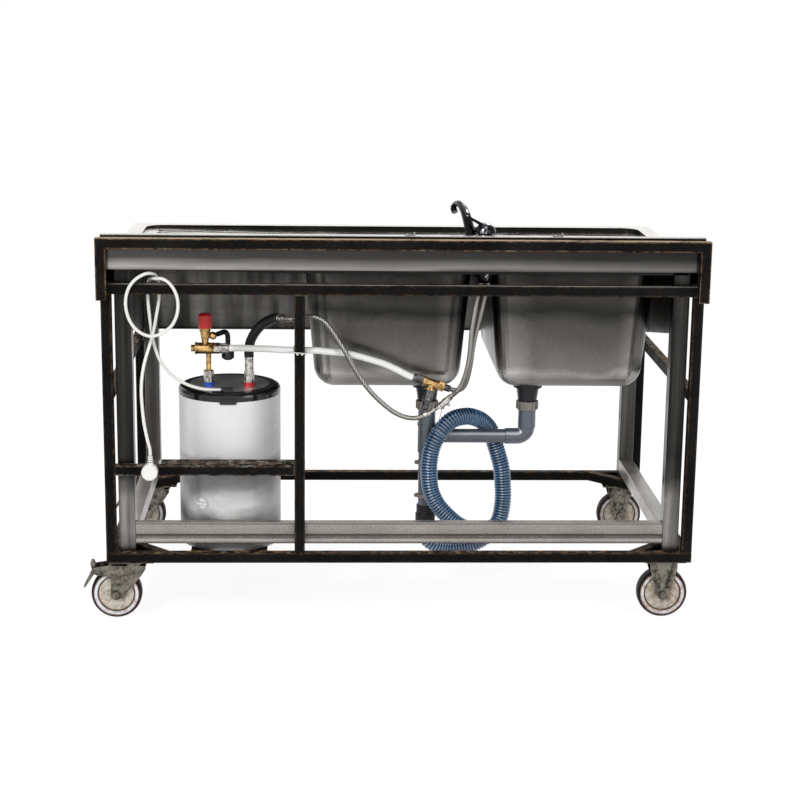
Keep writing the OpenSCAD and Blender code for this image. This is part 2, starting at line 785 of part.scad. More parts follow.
module rear_lower_rail() {
    top = rear_rail_z + rear_rail_h;
    y = -leg_y - leg_w / 2 + 3;
    groove = rear_rail_z + rear_bead_h;
    bead = 5;
    tab = 25;
    color("#98948b") {
        rotate([90, 0, 90]) translate([0, 0, -leg_inner_x]) linear_extrude(height = 2 * leg_inner_x) {
            polygon([[y, rear_rail_z], [y + bead + sheet, rear_rail_z],
                [y + bead + sheet, groove + rear_groove_h + sheet], [y + sheet, groove + rear_groove_h + sheet],
                [y + sheet, top - sheet], [y + rear_rail_d, top - sheet], [y + rear_rail_d, top], [y, top],
                [y, groove + rear_groove_h], [y + bead, groove + rear_groove_h], [y + bead, groove],
                [y, groove]]);
        }
        for (side = [-1, 1]) {
            translate([side * (leg_inner_x - sheet / 2), y + tab / 2 + sheet / 2, top - sheet - 15]) {
                cube([sheet, tab, 30], center = true);
            }
        }
    }
}

module side_lower_rails() {
    length = 2 * (leg_y - leg_w / 2);
    color("#98948b") for (side = [-1, 1]) {
        translate([side * leg_x, 0, side_rail_z + side_rail_h / 2]) rotate([90, 0, 0]) {
            linear_extrude(height = length, center = true) {
                tube_section(leg_w, side_rail_h, leg_wall, 2);
            }
        }
    }
}

// A round-headed screw whose head stands on a face and points along X or up
module screw_head(r) {
    intersection() {
        cylinder(h = r * 0.6, r = r);
        translate([0, 0, -r * 0.9]) sphere(r * 1.5);
    }
}

module sink_screws() {
    top = rear_rail_z + rear_rail_h;
    y = -leg_y - leg_w / 2 + 3;
    fold_top = rim_bar_top + upstand_rise;
    color("#6f6b64") {
        for (side = [-1, 1], dy = [9, 19]) {
            translate([side * (leg_inner_x - sheet), y + dy, top - 18]) rotate([0, -90 * side, 0]) {
                screw_head(4);
            }
        }
        for (x = [12, 365]) {
            translate([x - 12, back_y, fold_top]) cube([24, upstand_fold - 6, sheet]);
            translate([x - 6, back_y + 6, fold_top + sheet]) screw_head(4);
            translate([x + 9, back_y + 2, fold_top + sheet]) cube([3, 6, 7]);
        }
    }
}

// Wastes

module at_wastes() {
    for (x = [left_waste_x, right_waste_x]) {
        translate([x, waste_y, 0]) children();
    }
}

module waste_strainers() {
    top = well_bottom + bowl_wall;
    grid_r = waste_hole_r - 1;
    color("#c4c2bd") at_wastes() difference() {
        union() {
            translate([0, 0, top]) cylinder(h = 2, r = well_r - 5);
            translate([0, 0, well_bottom - 8]) cylinder(h = 10, r = grid_r);
        }
        translate([0, 0, well_bottom - 6.5]) cylinder(h = 20, r = grid_r - 1.5);
        for (a = [0 : 60 : 300]) {
            rotate([0, 0, a]) translate([13, 0, well_bottom - 9]) cylinder(h = 4, r = 4);
        }
        translate([0, 0, well_bottom - 9]) cylinder(h = 4, r = 4);
    }
}

module waste_bodies() {
    seat_r = waste_hole_r - 1 + fit;
    color("#1f2124") at_wastes() difference() {
        union() {
            translate([0, 0, waste_top - 17]) cylinder(h = 17, r = flange_r);
            translate([0, 0, body_z]) cylinder(h = 34, r1 = 24, r2 = 29);
            translate([0, 0, socket_top - 13]) cylinder(h = body_z - socket_top + 14, r = tail_r);
        }
        translate([0, 0, waste_top - 8 - fit]) cylinder(h = 20, r = seat_r);
        translate([0, 0, socket_top - 20]) cylinder(h = 90, r = tail_r - 3);
    }
}

module waste_nuts() {
    color("#8d9297") at_wastes() difference() {
        union() {
            translate([0, 0, nut_z]) cylinder(h = 23, r1 = 25, r2 = 27);
            for (a = [0 : 30 : 330]) {
                rotate([0, 0, a]) translate([24, -3, nut_z + 2]) cube([4.5, 6, 20]);
            }
        }
        translate([0, 0, nut_z - 1]) cylinder(h = 30, r = tail_r + fit);
    }
}

module quarter_bend(r, bend) {
    rotate([90, 0, 0]) rotate_extrude(angle = 90) translate([bend, 0]) circle(r);
}

module pipe_fittings() {
    bend = branch_socket_r + 4;
    bend_x = right_waste_x - bend;
    color("#7f878f") {
        translate([left_waste_x, waste_y, 0]) difference() {
            union() {
                translate([0, 0, branch_z - 42]) cylinder(h = socket_top - branch_z + 42, r = socket_r);
                translate([0, 0, socket_top - 42]) cylinder(h = 5, r = socket_r + 2);
                translate([0, 0, branch_z]) rotate([0, 90, 0]) cylinder(h = 42, r = branch_socket_r);
            }
            translate([0, 0, branch_z - 60]) cylinder(h = 150, r = pipe_r - pipe_wall);
            translate([0, 0, socket_top - 40]) cylinder(h = 60, r = pipe_r + fit);
            translate([0, 0, branch_z - 60]) cylinder(h = 40, r = pipe_r + fit);
            translate([0, 0, branch_z]) rotate([0, 90, 0]) cylinder(h = 60, r = branch_r - pipe_wall);
            translate([24, 0, branch_z]) rotate([0, 90, 0]) cylinder(h = 40, r = branch_r + fit);
        }
        translate([0, waste_y, 0]) difference() {
            union() {
                translate([bend_x, 0, branch_z + bend]) rotate([0, 90, 0]) quarter_bend(branch_socket_r, bend);
                translate([bend_x - 30, 0, branch_z]) rotate([0, 90, 0]) cylinder(h = 30, r = branch_socket_r);
                translate([right_waste_x, 0, branch_z + bend]) {
                    cylinder(h = socket_top - branch_z - bend, r = socket_r);
                }
            }
            translate([bend_x, 0, branch_z + bend]) rotate([0, 90, 0]) quarter_bend(branch_r - 2, bend);
            translate([bend_x - 31, 0, branch_z]) rotate([0, 90, 0]) cylinder(h = 31, r = branch_r - 2);
            translate([bend_x - 31, 0, branch_z]) rotate([0, 90, 0]) cylinder(h = 25, r = branch_r + fit);
            translate([right_waste_x, 0, branch_z + bend]) cylinder(h = 80, r = branch_r - 2);
            translate([right_waste_x, 0, socket_top - 15]) cylinder(h = 80, r = pipe_r + fit);
        }
    }
}

module waste_pipes() {
    bend_x = right_waste_x - branch_socket_r - 4;
    color("#5f666e") {
        translate([left_waste_x, waste_y, pipe_end_z]) difference() {
            cylinder(h = branch_z - 21 - pipe_end_z, r = pipe_r);
            translate([0, 0, -1]) cylinder(h = 400, r = pipe_r - pipe_wall);
        }
        translate([left_waste_x + 26, waste_y, branch_z]) rotate([0, 90, 0]) difference() {
            cylinder(h = bend_x - 8 - left_waste_x - 26, r = branch_r);
            translate([0, 0, -1]) cylinder(h = 400, r = branch_r - pipe_wall);
        }
    }
}

module pipe_clips() {
    color("#9aa0a6") for (z = clip_heights) {
        translate([left_waste_x, waste_y, z - 5]) difference() {
            union() {
                cylinder(h = 10, r = pipe_r + 1.6);
                translate([-pipe_r - 8, -3, 0]) cube([8, 6, 10]);
                translate([-pipe_r - 10, 0, 5]) rotate([0, 90, 0]) cylinder(h = 5, r = 3.5);
            }
            translate([0, 0, -1]) cylinder(h = 12, r = pipe_r + fit / 3);
        }
    }
}

// Drain hose

hose_line = resample(smooth(hose_path, 6), 2 * hose_ribs);
hose_run = run_lengths(hose_line);
hose_length = hose_run[len(hose_run) - 1];

// Least distance between points of a tube that lie more than reach apart along it
function self_gap(p, step, length, reach, r) =
    let (n = len(p) - 1, skip = ceil(reach / (length / n)))
    min([for (i = [0 : step : n - skip], j = [i + skip : step : n]) norm(p[i] - p[j])]) - 2 * r;

module drain_hose() {
    sides = 8;
    rows = 2 * hose_ribs;
    inner_step = 10;
    inner_rows = rows / inner_step;
    radii = [for (i = [0 : rows])
        (i < 8 || i > rows - 8) ? hose_groove_r + 1 : (i % 2 == 0 ? hose_groove_r : hose_r)];
    outer = rings(hose_line, hose_path, radii, sides, [0, 1, 0]);
    inner = [for (i = [0 : inner_rows], k = [0 : sides - 1])
        let (c = hose_line[i * inner_step], v = outer[i * inner_step * sides + k] - c)
        c + unit(v) * hose_bore_r];
    start = (rows + 1) * sides;
    color("#3f6f9f") polyhedron(points = concat(outer, inner),
        faces = concat(skin(rows + 1, sides, 0, 0), skin(inner_rows + 1, sides, start, 1),
            mouth(sides, 0, start, 0),
            mouth(sides, rows * sides, start + inner_rows * sides, 1)),
        convexity = 20);
    echo("Length of the drain hose", hose_length);
    echo("Least gap of the drain hose to itself", self_gap(hose_line, 3, hose_length, 110, hose_r));
}

// A cuff along Z: it holds the hose below its stop and has a socket above it
module cuff(socket_bore) {
    grip_bore = hose_r + fit;
    difference() {
        union() {
            translate([0, 0, -cuff_grip]) cylinder(h = cuff_grip + cuff_stop, r = grip_bore + cuff_wall);
            translate([0, 0, cuff_stop]) cylinder(h = 3, r1 = grip_bore + cuff_wall, r2 = socket_bore + cuff_wall);
            cylinder(h = cuff_reach, r = socket_bore + cuff_wall);
        }
        translate([0, 0, -cuff_grip - 1]) cylinder(h = cuff_grip + 1, r = grip_bore);
        translate([0, 0, -1]) cylinder(h = cuff_reach, r = hose_bore_r);
        translate([0, 0, cuff_stop]) cylinder(h = cuff_reach, r = socket_bore);
    }
}

module hose_cuffs() {
    color("#2b2d30") {
        translate([left_waste_x, waste_y, pipe_end_z - cuff_stop]) cuff(pipe_r + fit / 3);
        translate(hose_end) rotate([0, 90, 0]) cuff(cuff_bore_r);
    }
}

// The string from the hot coupling down to the top of the hose's loop
module hose_tie() {
    i = round((len(hose_line) - 1) * tie_share);
    c = hose_line[i];
    t = unit(hose_line[i + 1] - hose_line[i - 1]);
    r = hose_r + 1.3;
    held = thin_end + coupling_axis * 6;
    side = unit([0, 1, -1] - ([0, 1, -1] * coupling_axis) * coupling_axis);
    up = unit([0, -0.7, 1] - ([0, -0.7, 1] * t) * t);
    color("#b7b7b2") {
        ring_along(c, t, r);
        ring_along(held, coupling_axis, 10.6);
        rod(c + up * r, held + side * 10.6, 0.8);
    }
}

// A thin round ring whose axis runs along a direction
module ring_along(at, axis, r) {
    translate(at) rotate([0, acos(axis.z), atan2(axis.y, axis.x)]) {
        rotate_extrude() translate([r, 0]) circle(1, $fn = 16);
    }
}

// Water heater

module heater_casing() {
    foot = 12;
    color("#e9eaeb") difference() {
        union() {
            translate([heater_x, heater_y, heater_base]) rotate_extrude($fn = 96) polygon([
                [0, 0], [heater_r - foot, 0], [heater_r - 3, 4], [heater_r, foot], [heater_r, heater_h],
                [heater_r - heater_wall, heater_h], [heater_r - heater_wall, foot],
                [heater_r - foot, heater_wall], [0, heater_wall]]);
            at_knob() translate([0, 0, -6]) cylinder(h = 7.5, r = knob_r + 3);
        }
        at_knob() translate([0, 0, -2]) cylinder(h = 6, r = knob_r + 0.7);
    }
}

// Stands a child on the casing at the knob, pointing outwards
module at_knob() {
    translate([heater_x, heater_y, knob_z]) rotate([0, 0, knob_turn]) rotate([0, 90, 0]) {
        translate([0, 0, heater_r]) children();
    }
}

module thermostat_knob() {
    color("#f2f2f0") at_knob() {
        translate([0, 0, -2 + fit]) difference() {
            cylinder(h = 6, r = knob_r);
            for (side = [-1, 1]) {
                translate([side * (knob_r / 2 + 3), 0, 6]) {
                    cube([knob_r, 2 * knob_r * 0.8, 6], center = true);
                }
            }
        }
    }
}

module heater_cap() {
    r = heater_r + 0.5;
    well = cap_h - disc_t;
    color("#17181a") {
        translate([heater_x, heater_y, heater_top]) {
            rotate_extrude($fn = 96) polygon([
                [r - 3.5, 0], [r, 0], [r, cap_h - 11], [r - 1.5, cap_h - 6], [r - 5.5, cap_h - 2],
                [r - 11, cap_h], [disc_r + fit, cap_h], [disc_r + fit, well], [disc_r - 7, well],
                [disc_r - 7, well - 3], [r - 12, well - 3], [r - 6, cap_h - 8], [r - 3.5, cap_h - 12]]);
            rotate([0, 0, 262]) rotate_extrude(angle = 18, $fn = 96) {
                translate([heater_r + fit, -5]) square([3, 12]);
            }
        }
        translate([-438, -324, cap_top - 4]) cube([24, 16, 14]);
        translate([-438, -316, cap_top + 5]) rotate([0, -90, 0]) cylinder(h = 4, r1 = 6.5, r2 = 5.5);
    }
}

module heater_disc() {
    color("#9da0a2") difference() {
        translate([heater_x, heater_y, cap_top - disc_t]) cylinder(h = disc_t, r = disc_r, $fn = 96);
        for (x = [cold_x, hot_x]) {
            translate([x, stub_y, cap_top - 10]) cylinder(h = 20, r = stub_r + fit);
        }
        translate([-440, -326, cap_top - 10]) cube([28, 20, 20]);
    }
}

module heater_tank() {
    low = heater_base + 26;
    high = heater_top - 14;
    dome = 26;
    wall = 1.5;
    color("#7c8288") difference() {
        union() {
            translate([heater_x, heater_y, 0]) rotate_extrude() polygon([
                [0, low], [tank_r * 0.6, low + 5], [tank_r * 0.9, low + 14], [tank_r, low + dome],
                [tank_r, high - dome], [tank_r * 0.9, high - 14], [tank_r * 0.6, high - 5], [0, high]]);
            for (x = [cold_x, hot_x]) {
                translate([x, stub_y, high - 20]) cylinder(h = stub_top - high + 20, r = stub_r);
            }
            translate([heater_x, heater_y, heater_base + heater_wall]) {
                cylinder(h = 30, r = tank_r * 0.6);
            }
        }
        translate([heater_x, heater_y, 0]) rotate_extrude() polygon([
            [0, low + wall], [tank_r * 0.6 - wall, low + 5 + wall], [tank_r * 0.9 - wall, low + 14 + wall],
            [tank_r - wall, low + dome], [tank_r - wall, high - dome],
            [tank_r * 0.9 - wall, high - 14 - wall], [tank_r * 0.6 - wall, high - 5 - wall],
            [0, high - wall]]);
        for (x = [cold_x, hot_x]) {
            translate([x, stub_y, high - 40]) cylinder(h = 200, r = stub_r - 2.5);
        }
        translate([heater_x, heater_y, heater_base]) cylinder(h = 26, r = tank_r * 0.6 - wall);
    }
}

module stub_ring(x) {
    translate([x, stub_y, cap_top]) difference() {
        cylinder(h = 10, r = 13);
        translate([0, 0, -1]) cylinder(h = 12, r = stub_r + fit);
    }
}

module stub_rings() {
    color("#1f4fc4") stub_ring(cold_x);
    color("#d2222b") stub_ring(hot_x);
}

// Safety valve on the cold stub

module valve_body() {
    left = cold_x - 33;
    cone_z = valve_z + 16;
    color("#b98a45") difference() {
        union() {
            translate([cold_x, stub_y, ring_z + 33]) cylinder(h = valve_z - ring_z - 38, r = 6.5);
            translate([left, stub_y, valve_z]) rotate([0, 90, 0]) cylinder(h = 47, r = valve_r);
            translate([left - 10, stub_y, valve_z]) rotate([0, 90, 0]) cylinder(h = 12, r = 8.5, $fn = 6);
            for (x = [0, 30]) {
                translate([left + x, stub_y, valve_z]) rotate([0, 90, 0]) cylinder(h = 4, r = valve_r + 1.2);
            }
            translate([cold_x - 8, stub_y, valve_z]) cylinder(h = 20, r = 8);
            translate([cold_x - 8, stub_y, cone_z]) cylinder(h = 35, r1 = 8, r2 = 15);
            translate([cold_x + 11, stub_y + 3, valve_z + 31]) sphere(10);
        }
        translate([cold_x, stub_y, ring_z]) cylinder(h = valve_z - ring_z, r = 4);
        translate([left + 6, stub_y, valve_z]) rotate([0, 90, 0]) cylinder(h = 60, r = 9);
        translate([cold_x - 8, stub_y, cone_z + 30]) cylinder(h = 10, r = 4 + fit);
    }
}

module valve_nuts() {
    union_x = cold_x + 14;
    color("#b9b7b0") {
        translate([cold_x, stub_y, cap_top + 10]) difference() {
            union() {
                cylinder(h = 12, r = 11.5);
                translate([0, 0, 10]) cylinder(h = 19, r = 13, $fn = 6);
            }
            translate([0, 0, -1]) cylinder(h = stub_top - cap_top - 9 + fit, r = stub_r + fit);
            translate([0, 0, 10]) cylinder(h = 40, r = 6.5 + fit / 3);
        }
        translate([union_x, stub_y, valve_z]) rotate([0, 90, 0]) difference() {
            cylinder(h = 14, r = 14, $fn = 6);
            translate([0, 0, -1]) cylinder(h = 30, r = 6);
        }
        translate([union_x + 14, stub_y, valve_z]) rotate([0, 90, 0]) difference() {
            cylinder(h = 20, r = 12.5);
            for (a = [0 : 30 : 330]) {
                rotate([0, 0, a]) translate([13, 0, 4]) cylinder(h = 20, r = 1.4);
            }
            translate([0, 0, -1]) cylinder(h = 30, r = 6);
        }
    }
}

module test_cap() {
    z = valve_z + 51 + fit;
    color("#cf2630") translate([cold_x - 8, stub_y, z]) difference() {
        union() {
            cylinder(h = test_cap_h - 3, r = test_cap_r);
            translate([0, 0, test_cap_h - 3]) cylinder(h = 3, r1 = test_cap_r, r2 = test_cap_r - 3);
            translate([0, 0, -5]) cylinder(h = 6, r = 4);
        }
        for (i = [0 : cap_grooves - 1]) {
            rotate([0, 0, 360 * i / cap_grooves]) translate([test_cap_r + 0.6, 0, -1]) {
                cylinder(h = test_cap_h - 3, r = 1.8);
            }
        }
    }
}

module relief_outlet() {
    y = stub_y + 32;
    x = cold_x + 46;
    drop = valve_z - 6;
    path = [[cold_x + 21.5, stub_y + 6, valve_z + 34], [cold_x + 30, stub_y + 13, valve_z + 36],
        [cold_x + 39, stub_y + 22, valve_z + 37], [x - 2, y - 4, valve_z + 32], [x, y, valve_z + 22],
        [x, y, drop]];
    color("#17181a") {
        hose(path, 6.5, 12, 14, [0, 0, 1]);
        translate([x, y, drop - 24]) difference() {
            union() {
                cylinder(h = 24, r = 16);
                translate([0, 0, -5]) cylinder(h = 5, r1 = 9, r2 = 16);
            }
            translate([0, 0, 2]) cylinder(h = 19, r = 13.5);
            translate([0, 0, -6]) cylinder(h = 10, r = 5);
            for (a = [45, 225]) {
                rotate([0, 0, a]) translate([16, 0, 13]) cube([8, 12, 9], center = true);
            }
        }
    }
}

// Hoses and their fittings

module cold_hose() {
    color("#f1f1ef") hose(cold_path, cold_r, 12, 30);
}

module hot_hose() {
    color("#1b1b1c") hose(hot_path, hot_r, 12, 14);
}

module hot_tail() {
    color("#a8a6a1") hose(tail_path, braid_r, 8, 40);
}

module mixer_hoses() {
    color("#a8a6a1") {
        hose(mixer_hot_path, braid_r, 8, 24);
        hose(mixer_cold_path, braid_r, 8, 24);
    }
}

// The hot nut and sleeve, the crimps and the coupling in the braided hot line
module hose_fittings() {
    brass_at = crimp_start + crimp_axis * 18;
    nut_at = thin_end + coupling_axis * 12;
    screw = unit([1, 0, -1]);
    color("#b48745") translate([hot_x, stub_y, cap_top + 10]) difference() {
        cylinder(h = 27, r = 13, $fn = 6);
        translate([0, 0, -1]) cylinder(h = stub_top - cap_top - 9 + fit, r = stub_r + fit);
        translate([0, 0, 10]) cylinder(h = 40, r = 6);
    }
    color("#c9cacb") translate([hot_x, stub_y, cap_top + 37]) difference() {
        cylinder(h = 640 - cap_top - 37, r = 11);
        translate([0, 0, -1]) cylinder(h = 60, r = 6);
    }
    color("#55534f") {
        rod(crimp_start, brass_at, 9.5);
        for (i = [0 : 3]) {
            rod(crimp_start + crimp_axis * (1.5 + 4.5 * i), crimp_start + crimp_axis * (4 + 4.5 * i), 10.5);
        }
        rod(brass_at, crimp_end, 8.5);
    }
    color("#c9cacb") {
        rod(tail_end, thin_start, 7);
        rod(thin_start, thin_end, 4.5);
        rod(thin_end, nut_at, 9);
        rod(nut_at, coupling_end, 7.5);
        rod(nut_at + coupling_axis * 4, nut_at + coupling_axis * 14, 9);
        rod(nut_at + coupling_axis * 9, nut_at + coupling_axis * 9 + screw * 15, 3.5);
    }
}

module along_tee() {
    translate(tee_at) rotate([0, tee_fall, 0]) rotate([-tee_turn, 0, 0]) children();
}

module inlet_tee() {
    color("#b98438") along_tee() {
        rotate([0, 90, 0]) difference() {
            union() {
                translate([0, 0, -tee_body]) cylinder(h = 2 * tee_body + 2, r = 11);
                translate([0, 0, tee_body]) cylinder(h = 14, r = 13, $fn = 6);
                translate([0, 0, -tee_body - 4]) cylinder(h = 6, r = 13);
            }
            translate([0, 0, -60]) cylinder(h = 120, r = 6);
        }
        translate([0, 0, -tee_body]) difference() {
            cylinder(h = 9, r = 10);
            translate([0, 0, -1]) cylinder(h = 30, r = 6);
        }
        translate([0, 0, -tee_body - 5]) difference() {
            cylinder(h = 5, r = 13);
            translate([0, 0, -1]) cylinder(h = 30, r = 6);
        }
    }
}

// The nickel nuts of the tee and the push-in nipple on its branch
module quick_connector() {
    color("#8b8a88") along_tee() {
        translate([0, 0, -tee_body - 23]) difference() {
            cylinder(h = 18, r = 13.5, $fn = 6);
            translate([0, 0, -1]) cylinder(h = 30, r = 5);
        }
        translate([0, 0, -tee_body - 53]) difference() {
            union() {
                cylinder(h = 30, r = 8);
                translate([0, 0, 12]) cylinder(h = 4, r = 9.5);
                translate([0, 0, 20]) cylinder(h = 10, r = 11);
            }
            translate([0, 0, -1]) cylinder(h = 40, r = 5);
        }
        translate([-tee_body - 22, 0, 0]) rotate([0, 90, 0]) difference() {
            cylinder(h = 18, r = 12, $fn = 6);
            translate([0, 0, -1]) cylinder(h = 30, r = 6);
        }
        translate([-tee_body - 29, 0, 0]) rotate([0, 90, 0]) cylinder(h = 7, r = 9.5);
        translate([tee_body + 14, 0, 0]) rotate([0, 90, 0]) cylinder(h = 16, r = 8.5);
    }
}

// A loop of cord round the upright and the cold hose, crossing behind the hose
module cable_tie() {
    r = 1.2;
    left = upright_x - tube / 2 - fit - r;
    right = upright_x + tube / 2 + fit + r;
    near = face_y - fit - r;
    held = cold_path[10];
    z = held.z;
    far = max(face_y + tube + fit + r, held.y + cold_r + r - 0.1);
    loop = [[left, near, z + 1], [left, held.y, z + 10.8], [left, far, z + 8], [right, far, z - 8],
        [right, held.y, z - 10.8], [right, near, z - 1], [left, near, z + 1]];
    color("#f3f3f2") {
        for (i = [0 : 5]) {
            rod(loop[i], loop[i + 1], r);
            translate(loop[i]) sphere(r + 0.35);
        }
        for (x = [-5, 6]) {
            translate([upright_x + x, near - 2, z - 2.5]) sphere(3);
        }
    }
}

module power_cord() {
    p = resample(smooth(cord_path, 8), 84);
    s = run_lengths(p);
    color("#f4f4f2") hose(cord_path, cord_r, 8, 84);
    echo("Length of the power cord", s[len(s) - 1]);
    echo("Least gap of the power cord to itself", self_gap(p, 1, s[len(s) - 1], 60, cord_r));
}

module power_plug() {
    top = cord_path[len(cord_path) - 1];
    body_r = 19.5;
    thick = 22;
    color("#f2f1ee") {
        translate([top.x, top.y, top.z - 24]) difference() {
            cylinder(h = 24, r1 = 8, r2 = 5.5);
            for (z = [8, 13, 18]) {
                translate([0, 0, z]) difference() {
                    cylinder(h = 2, r = 12);
                    cylinder(h = 2, r = 5);
                }
            }
        }
        translate([top.x - 2, top.y, top.z - 24 - body_r + 3]) rotate([90, 0, 0]) {
            translate([0, 0, -thick / 2]) cylinder(h = thick - 3, r = body_r);
            translate([0, 0, thick / 2 - 3]) cylinder(h = 3, r1 = body_r, r2 = body_r - 3);
            for (side = [-1, 1]) {
                translate([side * 9.5, 0, -thick / 2 - 18.5]) cylinder(h = 19, r = 2.4);
            }
        }
    }
}

// Mixer tap

module tap_body() {
    column = tap_ball_z - floor_z - 26;
    color("#d8dadb") translate([tap_x, tap_y, 0]) {
        difference() {
            union() {
                translate([0, 0, floor_z]) cylinder(h = 5, r1 = 27, r2 = 25);
                translate([0, 0, floor_z]) cylinder(h = column, r = tap_r);
                translate([0, 0, floor_z + 34]) cylinder(h = 3, r = tap_r + 3);
                translate([0, 0, floor_under - 24]) cylinder(h = 26 + sheet, r = 16);
                translate([0, 0, floor_under - 10]) cylinder(h = 10, r = 23, $fn = 6);
            }
            translate([0, 0, floor_under - 25]) cylinder(h = column, r = 14.5);
        }
    }
}

module tap_spout() {
    z = floor_z + 37 + fit;
    path = [[-20, 4, z + 12], [-27, 6, z + 26], [-33, 8, z + 45], [-37, 16, z + 63], [-42, 34, z + 85],
        [-48, 60, z + 104], [-56, 88, z + 115], [-64, 110, z + 114], [-71, 124, z + 103]];
    radii = [10, 11.5, 12, 12, 11.5, 10.5, 9, 7.5, 6.5];
    sides = 12;
    n = 16;
    p = resample(smooth(path, 6), n);
    r = [for (i = [0 : n]) lookup(i / n * 8, [for (k = [0 : 8]) [k, radii[k]]])];
    color("#c9ccce") translate([tap_x, tap_y, 0]) {
        translate([0, 0, z]) difference() {
            cylinder(h = 28, r = tap_r + 4);
            translate([0, 0, -1]) cylinder(h = 30, r = tap_r + fit);
        }
        difference() {
            polyhedron(points = rings(p, path, r, sides, [0, 0, 1]),
                faces = concat(fan(sides, 0, 0), skin(n + 1, sides, 0, 0), fan(sides, n * sides, 1)),
                convexity = 10);
            translate([0, 0, z - 1]) cylinder(h = 200, r = tap_r + 2);
        }
        translate([-69, 120, z + 99]) rotate([-35, -20, 0]) translate([0, 0, -9]) cylinder(h = 12, r = 8);
    }
}

module tap_cap() {
    low = tap_ball_z - 26 + fit;
    color("#c9ccce") translate([tap_x, tap_y, 0]) {
        translate([0, 0, low]) cylinder(h = 14, r = tap_r);
        translate([0, 0, tap_ball_z]) difference() {
            sphere(lever_r - 4.6);
            translate([0, 0, -40]) cube(80, center = true);
        }
        translate([0, 0, low]) cylinder(h = tap_ball_z - low + 1, r = lever_r - 8);
    }
}

module tap_lever() {
    color("#d5d8da") translate([tap_x, tap_y, tap_ball_z]) difference() {
        union() {
            sphere(lever_r);
            rotate([90, 0, 10]) linear_extrude(height = 16, center = true) {
                polygon([[-14, 17], [-30, 27], [-46, 38], [-48, 41], [-44, 42], [-24, 31], [-6, 22]]);
            }
        }
        sphere(lever_r - 4.3);
        translate([0, 0, -50]) cube(100, center = true);
    }
}

// Castors

module castor_plates() {
    color("#8e8f90") for (x = [-1, 1], y = [-1, 1]) {
        translate([x * castor_x, y * castor_y, plate_z]) difference() {
            translate([-52.5, -42.5, 0]) cube([105, 85, plate_t]);
            for (hx = [-40, 40], hy = [-30, 30]) {
                translate([hx, hy, -1]) cylinder(h = plate_t + 2, r = 4.5);
            }
        }
    }
}

module cheek(outline) {
    for (y = [-cheek_y - cheek_t, cheek_y]) {
        translate([0, y + cheek_t, 0]) rotate([90, 0, 0]) linear_extrude(height = cheek_t) children();
    }
}

module axle_bolt(x) {
    reach = cheek_y + cheek_t;
    translate([x, 0, wheel_r]) rotate([90, 0, 0]) {
        translate([0, 0, -reach]) cylinder(h = 2 * reach, r = axle_r);
        for (z = [-reach - 5, reach]) {
            translate([0, 0, z]) cylinder(h = 5, r = 9, $fn = 6);
        }
    }
}

// A swivel fork with its crown, trailing cheeks, axle and brake pin
module swivel_fork() {
    top = head_top - head_h;
    color("#86888b") {
        translate([0, 0, top]) cylinder(h = head_h, r1 = castor_head_r - 3, r2 = castor_head_r);
        translate([-62, -cheek_y - cheek_t, top - 3]) cube([92, 2 * (cheek_y + cheek_t), 3]);
        cheek() {
            polygon([[30, top], [30, top - 8], [20, top - 24], [-30, wheel_r - 11],
                [-trail - 12, wheel_r], [-trail - 12, top - 40], [-58, top - 28], [-92, top - 24],
                [-106, top - 15], [-98, top - 6], [-62, top]]);
            translate([-trail, wheel_r]) circle(14);
        }
        axle_bolt(-trail);
        translate([-96, 0, top - 16]) rotate([90, 0, 0]) {
            cylinder(h = 2 * (cheek_y + cheek_t), r = pin_r, center = true);
        }
    }
}

module near_swivel_fork() {
    translate([-castor_x, -castor_y, 0]) swivel_fork();
}

module far_swivel_fork() {
    translate([-castor_x, castor_y, 0]) swivel_fork();
}

module brake_pedal() {
    z = head_top - head_h - 16;
    color("#77797c") translate([0, pedal_w / 2, 0]) rotate([90, 0, 0]) linear_extrude(height = pedal_w) {
        difference() {
            union() {
                translate([-96, z]) circle(7);
                polygon([[-92, z + 5], [-101, z + 22], [-107, z + 21], [-103, z + 3], [-pedal_reach, z - 40],
                    [-pedal_reach + 4, z - 43], [-97, z - 7]]);
            }
            translate([-96, z]) circle(pin_r + fit);
        }
    }
}

module near_brake_pedal() {
    translate([-castor_x, -castor_y, 0]) brake_pedal();
}

module far_brake_pedal() {
    translate([-castor_x, castor_y, 0]) brake_pedal();
}

module fixed_forks() {
    low = wheel_r - 12;
    color("#86888b") for (side = [-1, 1]) {
        translate([castor_x, side * castor_y, 0]) {
            translate([-34, -cheek_y - cheek_t, plate_z - 4]) cube([68, 2 * (cheek_y + cheek_t), 4]);
            cheek() {
                polygon([[-34, plate_z], [-34, plate_z - 22], [-14, low + 8], [14, low + 8],
                    [34, plate_z - 22], [34, plate_z]]);
                translate([0, wheel_r]) circle(15);
            }
            for (x = [-1, 1], y = [-1, 1]) {
                rib_y = y * (cheek_y + cheek_t);
                rod([x * 10, rib_y, wheel_r + 14], [x * 24, rib_y, plate_z - 8], 3);
            }
            axle_bolt(0);
        }
    }
}

